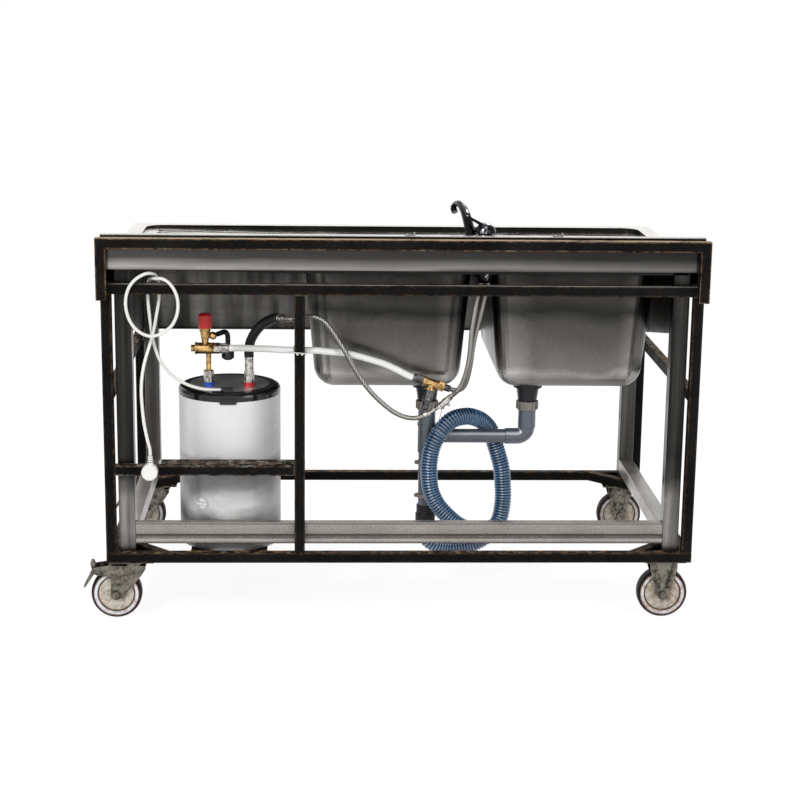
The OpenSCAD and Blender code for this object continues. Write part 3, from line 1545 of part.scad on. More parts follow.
// A wheel on its side: the cream centre with its groove and hub, and the black tyre round it
module wheel() {
    rim = wheel_r - tyre_t - 0.15;
    half = wheel_w / 2;
    bore = axle_r + fit;
    groove = rim * 0.82;
    rotate([90, 0, 0]) {
        color("#d9d3c3") rotate_extrude($fn = 64) polygon([
            [bore, -half - 2], [13, -half - 2], [14, -half + 2], [groove - 3, -half + 4],
            [groove, -half + 6], [groove + 3, -half + 1], [rim, -half + 1], [rim, half - 1],
            [groove + 3, half - 1], [groove, half - 6], [groove - 3, half - 4], [14, half - 2],
            [13, half + 2], [bore, half + 2]]);
        color("#2a2725") rotate_extrude($fn = 64) polygon([
            [rim + fit, -half + 1], [wheel_r - 4, -half], [wheel_r - 1, -half + 4], [wheel_r, -half + 10],
            [wheel_r, half - 10], [wheel_r - 1, half - 4], [wheel_r - 4, half], [rim + fit, half - 1]]);
    }
}

module near_left_wheel() {
    translate([-castor_x - trail, -castor_y, wheel_r]) wheel();
}

module far_left_wheel() {
    translate([-castor_x - trail, castor_y, wheel_r]) wheel();
}

module near_right_wheel() {
    translate([castor_x, -castor_y, wheel_r]) wheel();
}

module far_right_wheel() {
    translate([castor_x, castor_y, wheel_r]) wheel();
}

placed() long_rails();
placed() end_rails();
placed() uprights();
placed() corner_braces();
placed() rim_frame();
placed() guard_rails();
placed() shelf_bars();
placed() sink_top();
placed() upstand();
placed() left_bowl();
placed() right_bowl();
placed() front_panel();
placed() side_panels();
placed() sink_legs();
placed() rear_lower_rail();
placed() side_lower_rails();
placed() sink_screws();
placed() waste_strainers();
placed() waste_bodies();
placed() waste_nuts();
placed() pipe_fittings();
placed() waste_pipes();
placed() pipe_clips();
placed() drain_hose();
placed() hose_cuffs();
placed() hose_tie();
placed() heater_casing();
placed() heater_cap();
placed() heater_disc();
placed() heater_tank();
placed() stub_rings();
placed() thermostat_knob();
placed() valve_body();
placed() valve_nuts();
placed() test_cap();
placed() relief_outlet();
placed() cold_hose();
placed() hot_hose();
placed() hot_tail();
placed() mixer_hoses();
placed() hose_fittings();
placed() inlet_tee();
placed() quick_connector();
placed() cable_tie();
placed() power_cord();
placed() power_plug();
placed() tap_body();
placed() tap_spout();
placed() tap_cap();
placed() tap_lever();
placed() castor_plates();
placed() fixed_forks();
placed() near_swivel_fork();
placed() far_swivel_fork();
placed() near_left_wheel();
placed() far_left_wheel();
placed() near_right_wheel();
placed() far_right_wheel();
placed() near_brake_pedal();
placed() far_brake_pedal();
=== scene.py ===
"""Looks of the double sink trolley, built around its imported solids."""

import math

import bpy
from mathutils import Matrix, Vector


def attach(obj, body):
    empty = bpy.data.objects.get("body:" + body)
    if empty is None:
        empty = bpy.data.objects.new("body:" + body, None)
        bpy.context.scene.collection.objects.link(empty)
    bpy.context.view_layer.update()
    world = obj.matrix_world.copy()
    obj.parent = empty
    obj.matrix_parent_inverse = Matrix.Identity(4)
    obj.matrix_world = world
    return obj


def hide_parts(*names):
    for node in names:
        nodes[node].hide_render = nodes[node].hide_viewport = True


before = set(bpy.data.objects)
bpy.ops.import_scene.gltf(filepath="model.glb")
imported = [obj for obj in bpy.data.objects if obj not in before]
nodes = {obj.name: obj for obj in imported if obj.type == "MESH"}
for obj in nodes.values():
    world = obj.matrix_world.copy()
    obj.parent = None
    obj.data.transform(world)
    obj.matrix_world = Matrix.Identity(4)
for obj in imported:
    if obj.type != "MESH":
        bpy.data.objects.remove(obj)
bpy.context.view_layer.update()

# The middle of the trolley, in the row frame, in millimetres
SHIFT = Vector((27.5, 12.5, 0.0))


def at(x, y, z):
    """A point of the trolley, given in millimetres from its middle, in the row frame."""
    return (Vector((x, y, z)) + SHIFT) / 1000.0


# Camera

CAMERA_AT = (-162.3, -4674.5, 1552.8)
CAMERA_YAW = 0.0425377
CAMERA_PITCH = 0.2259725
CAMERA_ROLL = -0.0127342
CAMERA_LENS = 82.0


def make_camera():
    camera = bpy.data.objects.new("camera", bpy.data.cameras.new("camera"))
    bpy.context.scene.collection.objects.link(camera)
    camera.data.sensor_width = 36.0
    camera.data.lens = CAMERA_LENS
    camera.data.clip_end = 200.0
    cy, sy = math.cos(CAMERA_YAW), math.sin(CAMERA_YAW)
    cp, sp = math.cos(CAMERA_PITCH), math.sin(CAMERA_PITCH)
    cr, sr = math.cos(CAMERA_ROLL), math.sin(CAMERA_ROLL)
    forward = Vector((sy * cp, cy * cp, -sp))
    level = Vector((cy, -sy, 0.0))
    down = forward.cross(level)
    right = cr * level + sr * down
    up = sr * level - cr * down
    turn = Matrix((right, up, -forward)).transposed().to_4x4()
    camera.matrix_world = Matrix.Translation(Vector(CAMERA_AT) / 1000.0) @ turn
    bpy.context.scene.camera = camera


make_camera()


# Routes of the hoses and cords, in millimetres from the trolley's middle

def unit(v):
    return Vector(v).normalized()


def curve_point(a, b, c, d, u):
    """A point at share u of the way from b to c, on a smooth curve that also minds a and d."""
    return 0.5 * (2 * b + (c - a) * u + (2 * a - 5 * b + 4 * c - d) * u * u
                  + (3 * b - a - 3 * c + d) * u * u * u)


def smooth(path, n):
    """The same curve through the route's points as the solids follow."""
    p = [Vector(v) for v in path]
    last = len(p) - 1
    out = []
    for i in range(last):
        for k in range(n):
            out.append(curve_point(p[max(i - 1, 0)], p[i], p[i + 1], p[min(i + 2, last)], k / n))
    out.append(p[last])
    return out


def resample(p, n):
    """n + 1 points at equal steps along a line of points."""
    runs = [0.0]
    for a, b in zip(p, p[1:]):
        runs.append(runs[-1] + (b - a).length)
    out = []
    j = 0
    for k in range(n + 1):
        d = runs[-1] * k / n
        while j < len(p) - 2 and runs[j + 1] < d:
            j += 1
        step = runs[j + 1] - runs[j]
        u = 0.0 if step == 0 else min(1.0, (d - runs[j]) / step)
        out.append(p[j].lerp(p[j + 1], u))
    return out


TEE_FALL = math.radians(18)
TEE_AXIS = Vector((math.cos(TEE_FALL), 0.0, -math.sin(TEE_FALL)))
COLD_END = Vector((29, -308, 603))
TEE_AT = COLD_END + TEE_AXIS * 47
MIXER_COLD_START = TEE_AT + TEE_AXIS * 48
CRIMP_START = Vector((-303, -300, 748))
CRIMP_END = Vector((-264, -328, 752))
CRIMP_AXIS = unit(CRIMP_END - CRIMP_START)
TAIL_END = Vector((56, -321, 510))
THIN_START = Vector((70, -320, 518))
THIN_END = Vector((93, -319, 530))
COUPLING_END = Vector((121, -322, 557))
TAIL_AXIS = unit(THIN_START - TAIL_END)
COUPLING_AXIS = unit(COUPLING_END - THIN_END)

COLD_PATH = [
    (-429, -245, 661), (-421, -245, 661), (-410, -248, 662), (-398, -257, 664), (-385, -269, 666),
    (-366, -287, 669), (-340, -310, 673), (-314, -335, 677), (-288, -353, 679), (-266, -360, 680),
    (-234, -360, 680), (-208, -353, 678), (-177, -338, 672), (-140, -325, 666), (-103, -318, 656),
    (-74, -314, 647), (-42, -310, 636), (-12, -308, 622), COLD_END - TEE_AXIS * 14, COLD_END]
HOT_PATH = [
    (-377, -245, 640), (-377, -245, 652), (-374, -247, 676), (-362, -256, 702), (-343, -270, 726),
    (-324, -284, 740), CRIMP_START - CRIMP_AXIS * 8, CRIMP_START]
TAIL_PATH = [
    CRIMP_END, CRIMP_END + CRIMP_AXIS * 8, (-235, -346, 759), (-214, -351, 760), (-194, -353, 751),
    (-176, -353, 731), (-157, -352, 702), (-138, -351, 671), (-113, -347, 625), (-88, -342, 587),
    (-59, -338, 554), (-22, -333, 522), (8, -328, 507), (32, -324, 503),
    TAIL_END - TAIL_AXIS * 8, TAIL_END]
MIXER_HOT_PATH = [
    COUPLING_END, COUPLING_END + COUPLING_AXIS * 8, (136, -330, 573), (146, -334, 590),
    (154, -338, 613), (161, -341, 645), (165, -342, 681), (167, -342, 717), (172, -342, 758),
    (179, -341, 802), (187.5, -338, 833), (187.5, -338, 845)]
MIXER_COLD_PATH = [
    MIXER_COLD_START, MIXER_COLD_START + TEE_AXIS * 8, (142, -309, 571), (154, -314, 582),
    (162, -321, 605), (168, -326, 641), (172, -328, 679), (178, -330, 715), (188, -332, 758),
    (197, -334, 802), (204.5, -338, 833), (204.5, -338, 845)]
CORD_PATH = [
    (-442, -316, 571), (-450, -316, 571), (-467, -319, 572), (-490, -326, 576), (-520, -335, 587),
    (-550, -343, 605), (-573, -349, 629), (-591, -353, 660), (-602, -357, 698), (-606, -359, 728),
    (-610, -361, 764), (-613, -362, 803), (-613, -362, 829), (-610, -364, 847), (-602, -374, 855),
    (-591, -387, 857), (-577, -397, 859), (-563, -401, 853), (-550, -402, 839), (-541, -402, 819),
    (-538, -402, 797), (-541, -402, 773), (-552, -402, 749), (-570, -402, 732), (-589, -402, 723),
    (-606, -402, 721), (-624, -402, 727), (-641, -402, 740), (-654, -402, 761), (-661, -402, 787),
    (-661, -402, 812), (-655, -402, 834), (-643, -402, 852), (-628, -401, 864), (-613, -394, 870),
    (-601, -383, 869), (-592, -371, 862), (-588, -363, 847), (-586, -362, 826), (-587, -362, 799),
    (-593, -363, 764), (-600, -367, 728), (-610, -375, 692), (-620, -387, 658), (-626, -400, 625),
    (-628, -409, 590), (-626, -416, 553), (-622, -421, 514), (-615, -424, 476), (-609, -425, 451),
    (-608, -425, 440), (-608, -425, 432)]
HOSE_START = Vector((73, -140, 202))
HOSE_END = Vector((250, -197, 177))
HOSE_PATH = [
    HOSE_START, (73, -140, 158), (76, -139, 144), (86, -138, 130), (102, -136, 120),
    (124, -132, 114), (150, -128, 111), (178, -123, 112), (205, -118, 118), (231, -113, 131),
    (252, -109, 150), (267, -106, 172), (275, -103, 198), (279, -100, 237), (277, -98, 276),
    (273, -97, 316), (264, -96, 350), (254, -96, 382), (246, -97, 407), (239, -99, 421),
    (230, -104, 433), (217, -113, 446), (205, -122, 454), (190, -132, 461), (175, -142, 465),
    (148, -158, 464), (125, -172, 454), (102, -183, 428), (88, -186, 400), (81, -187, 373),
    (78, -188, 341), (80, -189, 301), (86, -190, 273), (99, -191, 246), (117, -193, 224),
    (138, -195, 204), (160, -197, 188), (182, -197, 179), (205, -197, 177), HOSE_END]


# Swept meshes

CURVE_STEPS = 8


def directions(path, line):
    """The way that the line runs at each of its points. It leaves the route's ends straight."""
    first = unit(Vector(path[1]) - Vector(path[0]))
    final = unit(Vector(path[-1]) - Vector(path[-2]))
    return [first] + [unit(after - before) for before, after in zip(line, line[2:])] + [final]


def square_to(way):
    """A direction square to the given one."""
    if abs(way.y) < 0.9:
        return unit(Vector((0, 1, 0)) - way * way.y)
    return unit(Vector((1, 0, 0)) - way * way.x)


def tube(name, path, radius_at, sides, steps, rib_at=None):
    """A mesh tube along a route. radius_at gives its radius in millimetres at a step along it.

    Its UV layer holds the share of the way round and the metres along. rib_at gives the height of the
    ribbing at a step, from 0 in a groove to 1 on a crest, and is kept as a point attribute.
    """
    line = resample(smooth(path, CURVE_STEPS), steps)
    ways = directions(path, line)
    side = square_to(ways[0])
    vertices, faces, uvs, runs = [], [], [], []
    run = 0.0
    for i, (centre, way) in enumerate(zip(line, ways)):
        side = unit(side - way * side.dot(way))
        other = way.cross(side)
        if i:
            run += (centre - line[i - 1]).length
        runs.append(run / 1000.0)
        r = radius_at(i)
        for k in range(sides):
            a = 2 * math.pi * k / sides
            vertices.append((centre + r * (math.cos(a) * side + math.sin(a) * other) + SHIFT) / 1000.0)
    for i in range(steps):
        for k in range(sides):
            a, b = i * sides + k, i * sides + (k + 1) % sides
            faces.append((a, b, b + sides, a + sides))
            u0, u1 = k / sides, (k + 1) / sides
            uvs += [(u0, runs[i]), (u1, runs[i]), (u1, runs[i + 1]), (u0, runs[i + 1])]
    faces.append(tuple(range(sides - 1, -1, -1)))
    uvs += [(0.0, 0.0)] * sides
    faces.append(tuple(steps * sides + k for k in range(sides)))
    uvs += [(0.0, runs[-1])] * sides
    mesh = bpy.data.meshes.new(name)
    mesh.from_pydata(vertices, [], faces)
    layer = mesh.uv_layers.new(name="run")
    for loop, uv in zip(layer.data, uvs):
        loop.uv = uv
    if rib_at is not None:
        attribute = mesh.attributes.new("rib", "FLOAT", "POINT")
        values = []
        for i in range(steps + 1):
            values += [rib_at(i)] * sides
        attribute.data.foreach_set("value", values)
    for polygon in mesh.polygons:
        polygon.use_smooth = len(polygon.vertices) == 4
    made = bpy.data.objects.new(name, mesh)
    bpy.context.scene.collection.objects.link(made)
    metres = [(p + SHIFT) / 1000.0 for p in line]
    return made, metres


def declare(made, node):
    """Puts a hose in place of its solid: hangs it on the root body and hides the solid."""
    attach(made, "root")
    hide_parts(node)


def plain_hose(name, path, diameter, steps, node, sides=20):
    """A smooth hose or cord. Its diameter is in metres and its route in millimetres."""
    made, metres = tube(name, path, lambda i: diameter * 500.0, sides, steps)
    declare(made, node)
    return made


CORD = 0.008
COLD_HOSE = 0.0166
HOT_HOSE = 0.024
BRAIDED_HOSE = 0.0116

power_cord = plain_hose("power_cord_flex", CORD_PATH, CORD, 420, "power_cord", sides=14)

# The drain hose's ribs: radii in millimetres and heights over the steps of one rib
RIBS = 146
RIB_SIDES = 28
RIB_RADII = (19.7, 20.2, 21.5, 22.2, 22.3, 22.2, 21.5, 20.2)
RIB_HEIGHTS = (0.0, 0.2, 0.7, 0.95, 1.0, 0.95, 0.7, 0.2)
RIB_STEPS = len(RIB_RADII)
drain_hose, drain_line = tube("drain_hose_ribbed", HOSE_PATH, lambda i: RIB_RADII[i % RIB_STEPS],
                              RIB_SIDES, RIBS * RIB_STEPS, lambda i: RIB_HEIGHTS[i % RIB_STEPS])
declare(drain_hose, "drain_hose")

cold_hose = plain_hose("cold_hose_white", COLD_PATH, COLD_HOSE, 160, "cold_hose")
hot_hose = plain_hose("hot_hose_black", HOT_PATH, HOT_HOSE, 60, "hot_hose", sides=24)
hot_tail = plain_hose("hot_tail_braided", TAIL_PATH, BRAIDED_HOSE, 220, "hot_tail")
mixer_hot = plain_hose("mixer_hose_hot", MIXER_HOT_PATH, BRAIDED_HOSE, 130, "mixer_hoses")
mixer_cold = plain_hose("mixer_hose_cold", MIXER_COLD_PATH, BRAIDED_HOSE, 130, "mixer_hoses")


# Materials

# Middles of the bowls and of the sink top, in metres
BOWL_Y = 0.0225
LEFT_BOWL_X = -0.0055
RIGHT_BOWL_X = 0.451
TOP_X = 0.0275

# Colours
WARM = (1.0, 0.965, 0.915)
RAIL_WARM = (1.0, 0.945, 0.865)
WHITE = (1.0, 1.0, 1.0)
BLACK = (0.0, 0.0, 0.0)
GOLD = (0.34, 0.24, 0.14)
PALE_GOLD = (0.42, 0.39, 0.34)
RUST = (0.16, 0.065, 0.025)
RED = (0.5, 0.012, 0.015)
BLUE = (0.012, 0.06, 0.42)


class Shader:
    """One node material and the few kinds of node that these surfaces use."""

    def __init__(self, name):
        self.material = bpy.data.materials.new(name)
        self.material.use_nodes = True
        self.tree = self.material.node_tree
        self.bsdf = self.tree.nodes["Principled BSDF"]
        self.coordinates = self.node("ShaderNodeTexCoord").outputs["Object"]

    def node(self, kind, **inputs):
        made = self.tree.nodes.new(kind)
        for key, value in inputs.items():
            self.put(made.inputs[key.replace("_", " ")], value)
        return made

    def put(self, socket, value):
        if isinstance(value, bpy.types.NodeSocket):
            self.tree.links.new(value, socket)
        elif isinstance(value, (tuple, list)) and len(value) == 3 and len(socket.default_value) == 4:
            socket.default_value = (*value, 1.0)
        else:
            socket.default_value = value

    def set(self, **inputs):
        for key, value in inputs.items():
            self.put(self.bsdf.inputs[key.replace("_", " ")], value)

    def stretched(self, x, y, z):
        made = self.node("ShaderNodeMapping", Vector=self.coordinates)
        made.inputs["Scale"].default_value = (x, y, z)
        return made.outputs["Vector"]

    def moved(self, point):
        made = self.node("ShaderNodeMapping", Vector=self.coordinates)
        made.inputs["Location"].default_value = tuple(-v for v in point)
        return made.outputs["Vector"]

    def noise(self, scale, detail=3.0, vector=None, rough=0.55, distortion=0.0):
        made = self.node("ShaderNodeTexNoise", Vector=vector or self.coordinates, Scale=scale,
                         Detail=detail, Roughness=rough, Distortion=distortion)
        return made.outputs["Fac"]

    def ramp(self, value, *stops):
        """Smooth steps of grey or colour, as (place, value) pairs."""
        made = self.node("ShaderNodeValToRGB", Fac=value)
        elements = made.color_ramp.elements
        while len(elements) < len(stops):
            elements.new(1.0)
        for element, (place, colour) in zip(elements, stops):
            element.position = place
            grey = (colour, colour, colour)
            element.color = (*(colour if isinstance(colour, tuple) else grey), 1.0)
        return made.outputs["Color"]

    def levels(self, value, *stops):
        """Grey levels along a length in metres, as (place, level) pairs in rising order."""
        low, high = stops[0][0], stops[-1][0]
        shares = [((place - low) / (high - low), level) for place, level in stops]
        return self.ramp(self.span(value, low, high), *shares)

    def math(self, operation, a, b=0.0, clamp=False):
        made = self.tree.nodes.new("ShaderNodeMath")
        made.operation = operation
        made.use_clamp = clamp
        self.put(made.inputs[0], a)
        self.put(made.inputs[1], b)
        return made.outputs[0]

    def times(self, first, *others):
        for other in others:
            first = self.math("MULTIPLY", first, other)
        return first

    def add(self, first, *others):
        for other in others:
            first = self.math("ADD", first, other)
        return first

    def less(self, a, b):
        return self.math("SUBTRACT", a, b)

    def span(self, value, low, high, to_low=0.0, to_high=1.0):
        made = self.tree.nodes.new("ShaderNodeMapRange")
        made.clamp = True
        for key, number in (("Value", value), ("From Min", low), ("From Max", high),
                            ("To Min", to_low), ("To Max", to_high)):
            self.put(made.inputs[key], number)
        return made.outputs["Result"]

    def mix(self, factor, a, b):
        made = self.tree.nodes.new("ShaderNodeMix")
        made.data_type = "RGBA"
        self.put(made.inputs["Factor"], factor)
        self.put(made.inputs[6], a)
        self.put(made.inputs[7], b)
        return made.outputs[2]

    def axes(self, vector=None):
        made = self.node("ShaderNodeSeparateXYZ", Vector=vector or self.coordinates)
        return made.outputs

    def normals(self):
        return self.axes(self.node("ShaderNodeTexCoord").outputs["Normal"])

    def facing_up(self, low=0.6, high=0.95):
        return self.span(self.normals()[2], low, high)

    def bump(self, height, strength, distance, normal=None):
        made = self.node("ShaderNodeBump", Height=height, Strength=strength, Distance=distance)
        if normal is not None:
            self.put(made.inputs["Normal"], normal)
        return made.outputs["Normal"]

    def rounded(self, radius):
        made = self.tree.nodes.new("ShaderNodeBevel")
        made.samples = 4
        made.inputs["Radius"].default_value = radius
        return made.outputs["Normal"]

    def edges(self, radius, low=0.90, high=0.995):
        """1 along sharp edges and 0 on flats."""
        geometry = self.node("ShaderNodeNewGeometry")
        dot = self.tree.nodes.new("ShaderNodeVectorMath")
        dot.operation = "DOT_PRODUCT"
        self.put(dot.inputs[0], self.rounded(radius))
        self.put(dot.inputs[1], geometry.outputs["Normal"])
        return self.span(dot.outputs["Value"], low, high, 1.0, 0.0)

    def open_air(self, distance, low=0.3, high=0.8):
        """A mask for painted shade: 0 in corners and recesses and 1 where the surface lies open."""
        made = self.tree.nodes.new("ShaderNodeAmbientOcclusion")
        made.samples = 8
        made.inputs["Distance"].default_value = distance
        return self.span(made.outputs["AO"], low, high)


def paint(name, worn, rust, top_highlight_and_wear, edge_wear=0.9):
    """Satin black paint on steel, worn through along its edges and on the lower top faces. The top faces of
    the high rails on the near side get a lighter line: a painted highlight where it is grey, and worn metal
    where it is gold.
    """
    s = Shader(name)
    high = s.span(s.axes()[2], 0.75, 0.80)
    patches = s.noise(9.0, 4.0)
    broken = s.span(s.noise(60.0, 5.0, rough=0.75), 0.40, 0.55)
    edge = s.times(s.edges(0.005), broken, edge_wear)
    low_top = s.times(s.facing_up(), s.less(1.0, high), s.span(s.noise(45.0, 5.0, rough=0.7), 0.47, 0.66))
    specks = s.times(s.span(s.noise(300.0, 3.0, rough=0.75), 0.60, 0.74), 0.22)
    wear = s.math("MAXIMUM", edge, s.math("MAXIMUM", low_top, specks), clamp=True)
    painted = s.mix(s.span(patches, 0.35, 0.7), (0.0020, 0.0020, 0.0024), (0.0075, 0.0072, 0.0070))
    bare = s.mix(s.span(s.noise(34.0, 5.0, rough=0.7), 0.42, 0.58), worn, rust)
    colour = s.mix(wear, painted, bare)
    # Painted highlight: a lighter line on the top faces of the high rails on the near side.
    lit = s.times(s.facing_up(0.8, 0.97), high, s.span(s.axes()[1], -0.378, -0.375, 1.0, 0.06))
    lit = s.times(lit, s.span(s.noise(14.0, 5.0, rough=0.7), 0.34, 0.50, 0.35, 1.0))
    s.set(Base_Color=s.mix(lit, colour, top_highlight_and_wear),
          Roughness=s.span(s.noise(30.0, 3.0), 0.3, 0.7, 0.40, 0.62),
          Normal=s.bump(s.noise(170.0, 3.0), 0.14, 0.0006, s.rounded(0.0016)),
          Specular_IOR_Level=0.05)
    return s.material


def steel(name, tone_of, grain_axis, rough, contrast, specks=0.0, top=None, tint=WARM):
    """Brushed stainless steel. tone_of gives its grey level, which for most parts holds painted shade and
    painted reflections, grain_axis the direction of the brushing, and top a lighter grey painted as sheen on
    faces that look up.
    """
    s = Shader(name)
    across_grain, along_grain = 700.0, 8.0
    scale = [along_grain if axis == grain_axis else across_grain for axis in "XYZ"]
    grain = s.noise(1.0, 2.0, s.stretched(*scale))
    tone = tone_of(s)
    # Painted sheen: faces that look up get a lighter grey.
    if top is not None:
        tone = s.mix(s.facing_up(), tone, (top, top, top))
    cloud = s.span(s.noise(7.0, 5.0, rough=0.6, distortion=0.5), 0.3, 0.7, 1.0 - contrast, 1.0 + contrast)
    tone = s.times(tone, cloud, s.span(grain, 0.3, 0.7, 0.88, 1.12))
    if specks:
        spots = s.span(s.noise(330.0, 3.0, rough=0.8), 0.44, 0.64, 1.0 + specks * 0.35, 1.0 - specks)
        tone = s.times(tone, spots)
    s.set(Base_Color=s.mix(s.math("MINIMUM", tone, 1.0), BLACK, tint), Metallic=1.0,
          Roughness=s.span(s.noise(14.0, 3.0), 0.3, 0.7, rough - 0.05, rough + 0.08),
          Normal=s.bump(grain, 0.10, 0.0003, s.rounded(0.0012)))
    return s.material


def even(level):
    """The same grey all over, apart from soft clouds."""
    return lambda s: s.span(s.noise(3.0, 2.0), 0.0, 1.0, level * 0.8, level * 1.2)


def bowl_painted_light(centre):
    """Painted light on the outer faces: painted shade dark under the rim and lighter down to the bottom
    edge, and painted reflections as bright bands by the corners.
    """
    def tone(s):
        x, y, z = s.axes()
        nx, ny, nz = s.normals()
        across = s.less(x, centre)
        outward = s.less(s.add(s.times(nx, across), s.times(ny, s.less(y, BOWL_Y))), s.times(nz, 0.1))
        waves = s.span(s.noise(4.5, 3.0, distortion=0.8), 0.3, 0.7, -0.016, 0.016)
        # Painted shade along the height, and painted reflections across the bowl.
        fall = s.levels(s.add(z, waves), (0.560, 0.14), (0.597, 0.28), (0.612, 0.17), (0.700, 0.095),
                        (0.735, 0.075), (0.762, 0.026), (0.790, 0.048), (0.828, 0.026), (0.860, 0.055))
        side = s.levels(across, (-0.206, 0.2), (-0.165, 1.9), (-0.095, 1.0), (0.115, 0.92), (0.146, 1.5),
                        (0.166, 1.0), (0.206, 0.12))
        return s.mix(s.span(outward, -0.002, 0.002), (0.50, 0.50, 0.50), s.times(fall, side))
    return tone


def back_painted_light(s):
    """The upstand's back with painted light: painted shade dark above, a painted reflection bright along its
    lower edge, and darker towards the bowls.
    """
    x, _, z = s.axes()
    waves = s.span(s.noise(1.0, 3.0, s.stretched(3.0, 3.0, 12.0)), 0.3, 0.7, -0.0035, 0.0035)
    fall = s.levels(s.add(z, waves), (0.878, 0.12), (0.886, 0.30), (0.898, 0.17), (0.910, 0.055),
                    (0.926, 0.050), (0.938, 0.016))
    return s.times(fall, s.levels(x, (-0.65, 1.35), (-0.10, 0.95), (0.35, 0.68), (0.70, 0.50)))


def leg_painted_light(s):
    """The near legs have painted light at the foot and painted shade dark above; the far ones are even, with
    upright streaks.
    """
    _, y, z = s.axes()
    wavy = s.add(z, s.span(s.noise(9.0, 3.0), 0.3, 0.7, -0.02, 0.02))
    near = s.levels(wavy, (0.150, 0.06), (0.190, 0.13), (0.220, 0.19), (0.300, 0.18), (0.355, 0.040),
                    (0.420, 0.026), (0.800, 0.034))
    streak = s.span(s.noise(1.0, 3.0, s.stretched(45.0, 45.0, 1.5)), 0.35, 0.65, 0.55, 1.5)
    return s.times(s.mix(s.span(y, -0.02, 0.02), near, (0.088, 0.088, 0.088)), streak)


def panel_painted_light(s):
    """Inside, painted shade dark under the rim and lighter lower down, with painted reflections as soft
    upright bands; even outside.
    """
    x, y, z = s.axes()
    nx, ny, _ = s.normals()
    waves = s.span(s.noise(6.0, 3.0), 0.3, 0.7, -0.02, 0.02)
    # Painted shade under the rim, and painted reflections as upright bands.
    fall = s.levels(s.add(z, waves), (0.590, 0.10), (0.630, 0.17), (0.700, 0.16), (0.760, 0.075),
                    (0.800, 0.034), (0.880, 0.040))
    bands = s.span(s.noise(1.0, 3.0, s.stretched(16.0, 16.0, 2.5)), 0.34, 0.62, 0.35, 1.6)
    inside = s.times(fall, bands)
    outward = s.add(s.times(nx, x), s.times(ny, y))
    return s.mix(s.span(outward, -0.01, 0.01), inside, (0.40, 0.40, 0.40))


def rail_painted_light(s):
    """A speckled flat between a groove darkened with painted shade and the bead under it lit with a painted
    highlight.
    """
    return s.levels(s.axes()[2], (0.193, 0.06), (0.201, 0.45), (0.208, 0.20), (0.216, 0.05),
                    (0.219, 0.28), (0.2405, 0.33), (0.2425, 0.16), (0.247, 0.34))


def top_painted_light(s):
    """Painted light on the sink top: bright up-facing flats and darker outer faces, with painted shade
    making the walls round the sunk area near black.
    """
    x, y, _ = s.axes()
    aside = s.math("ABSOLUTE", s.less(x, TOP_X))
    within = s.times(s.span(aside, 0.690, 0.686), s.span(y, 0.385, 0.380))
    border = s.math("MAXIMUM", s.span(aside, 0.630, 0.640), s.span(s.math("ABSOLUTE", y), 0.320, 0.325))
    wall = s.times(within, border, s.span(s.math("ABSOLUTE", s.normals()[2]), 0.55, 0.85, 1.0, 0.0))
    return s.mix(wall, s.mix(s.facing_up(), (0.20, 0.20, 0.20), (0.80, 0.80, 0.80)), (0.020, 0.020, 0.020))


def plastic(name, base, rough, vary=0.12, coat=0.0, specular=0.5, shade_reach=0.012, glint=None):
    """Moulded plastic, rubber or string with slight smudges and painted shade in its recesses. glint is the
    colour of a painted highlight along lying pipes.
    """
    s = Shader(name)
    smudge = s.noise(16.0, 4.0)
    colour = s.mix(s.span(smudge, 0.3, 0.7), tuple(v * (1 - vary) for v in base),
                   tuple(min(1.0, v * (1 + vary)) for v in base))
    if glint:
        # Painted highlight along the upper side of lying pipes.
        line = s.span(s.math("ABSOLUTE", s.less(s.normals()[2], 0.50)), 0.06, 0.26, 1.0, 0.0)
        colour = s.mix(s.times(line, s.span(smudge, 0.3, 0.7, 0.80, 1.0)), colour, glint)
    # Painted shade: darker in recesses.
    s.set(Base_Color=s.mix(s.open_air(shade_reach), tuple(v * 0.3 for v in base), colour),
          Roughness=s.span(s.noise(40.0, 3.0), 0.3, 0.7, rough, rough + 0.12),
          Normal=s.bump(s.noise(540.0, 2.0), 0.05, 0.0003, s.rounded(0.0008)),
          Specular_IOR_Level=specular)
    if coat:
        s.set(Coat_Weight=coat, Coat_Roughness=0.08)
    return s.material


def enamel(name):
    """White enamel of the heater, with painted shade greying its sides and soft dark painted reflections low
    down.
    """
    s = Shader(name)
    waves = s.span(s.noise(7.0, 3.0, distortion=0.8), 0.3, 0.7, -0.020, 0.020)
    # Painted reflections low down.
    low = s.levels(s.add(s.axes()[2], waves), (0.165, 0.22), (0.213, 0.28), (0.235, 0.17), (0.272, 0.60),
                   (0.294, 0.52), (0.325, 0.24), (0.372, 0.16), (0.400, 0.68), (0.540, 0.71))
    # Painted shade at the sides.
    side = s.span(s.math("ABSOLUTE", s.normals()[0]), 0.78, 1.0, 1.0, 0.62)
    tone = s.times(low, side, s.span(s.noise(20.0, 4.0), 0.3, 0.7, 0.97, 1.03))
    s.set(Base_Color=s.mix(tone, BLACK, (1.0, 1.0, 0.995)),
          Roughness=s.span(s.noise(12.0, 2.0), 0.3, 0.7, 0.25, 0.35))
    return s.material


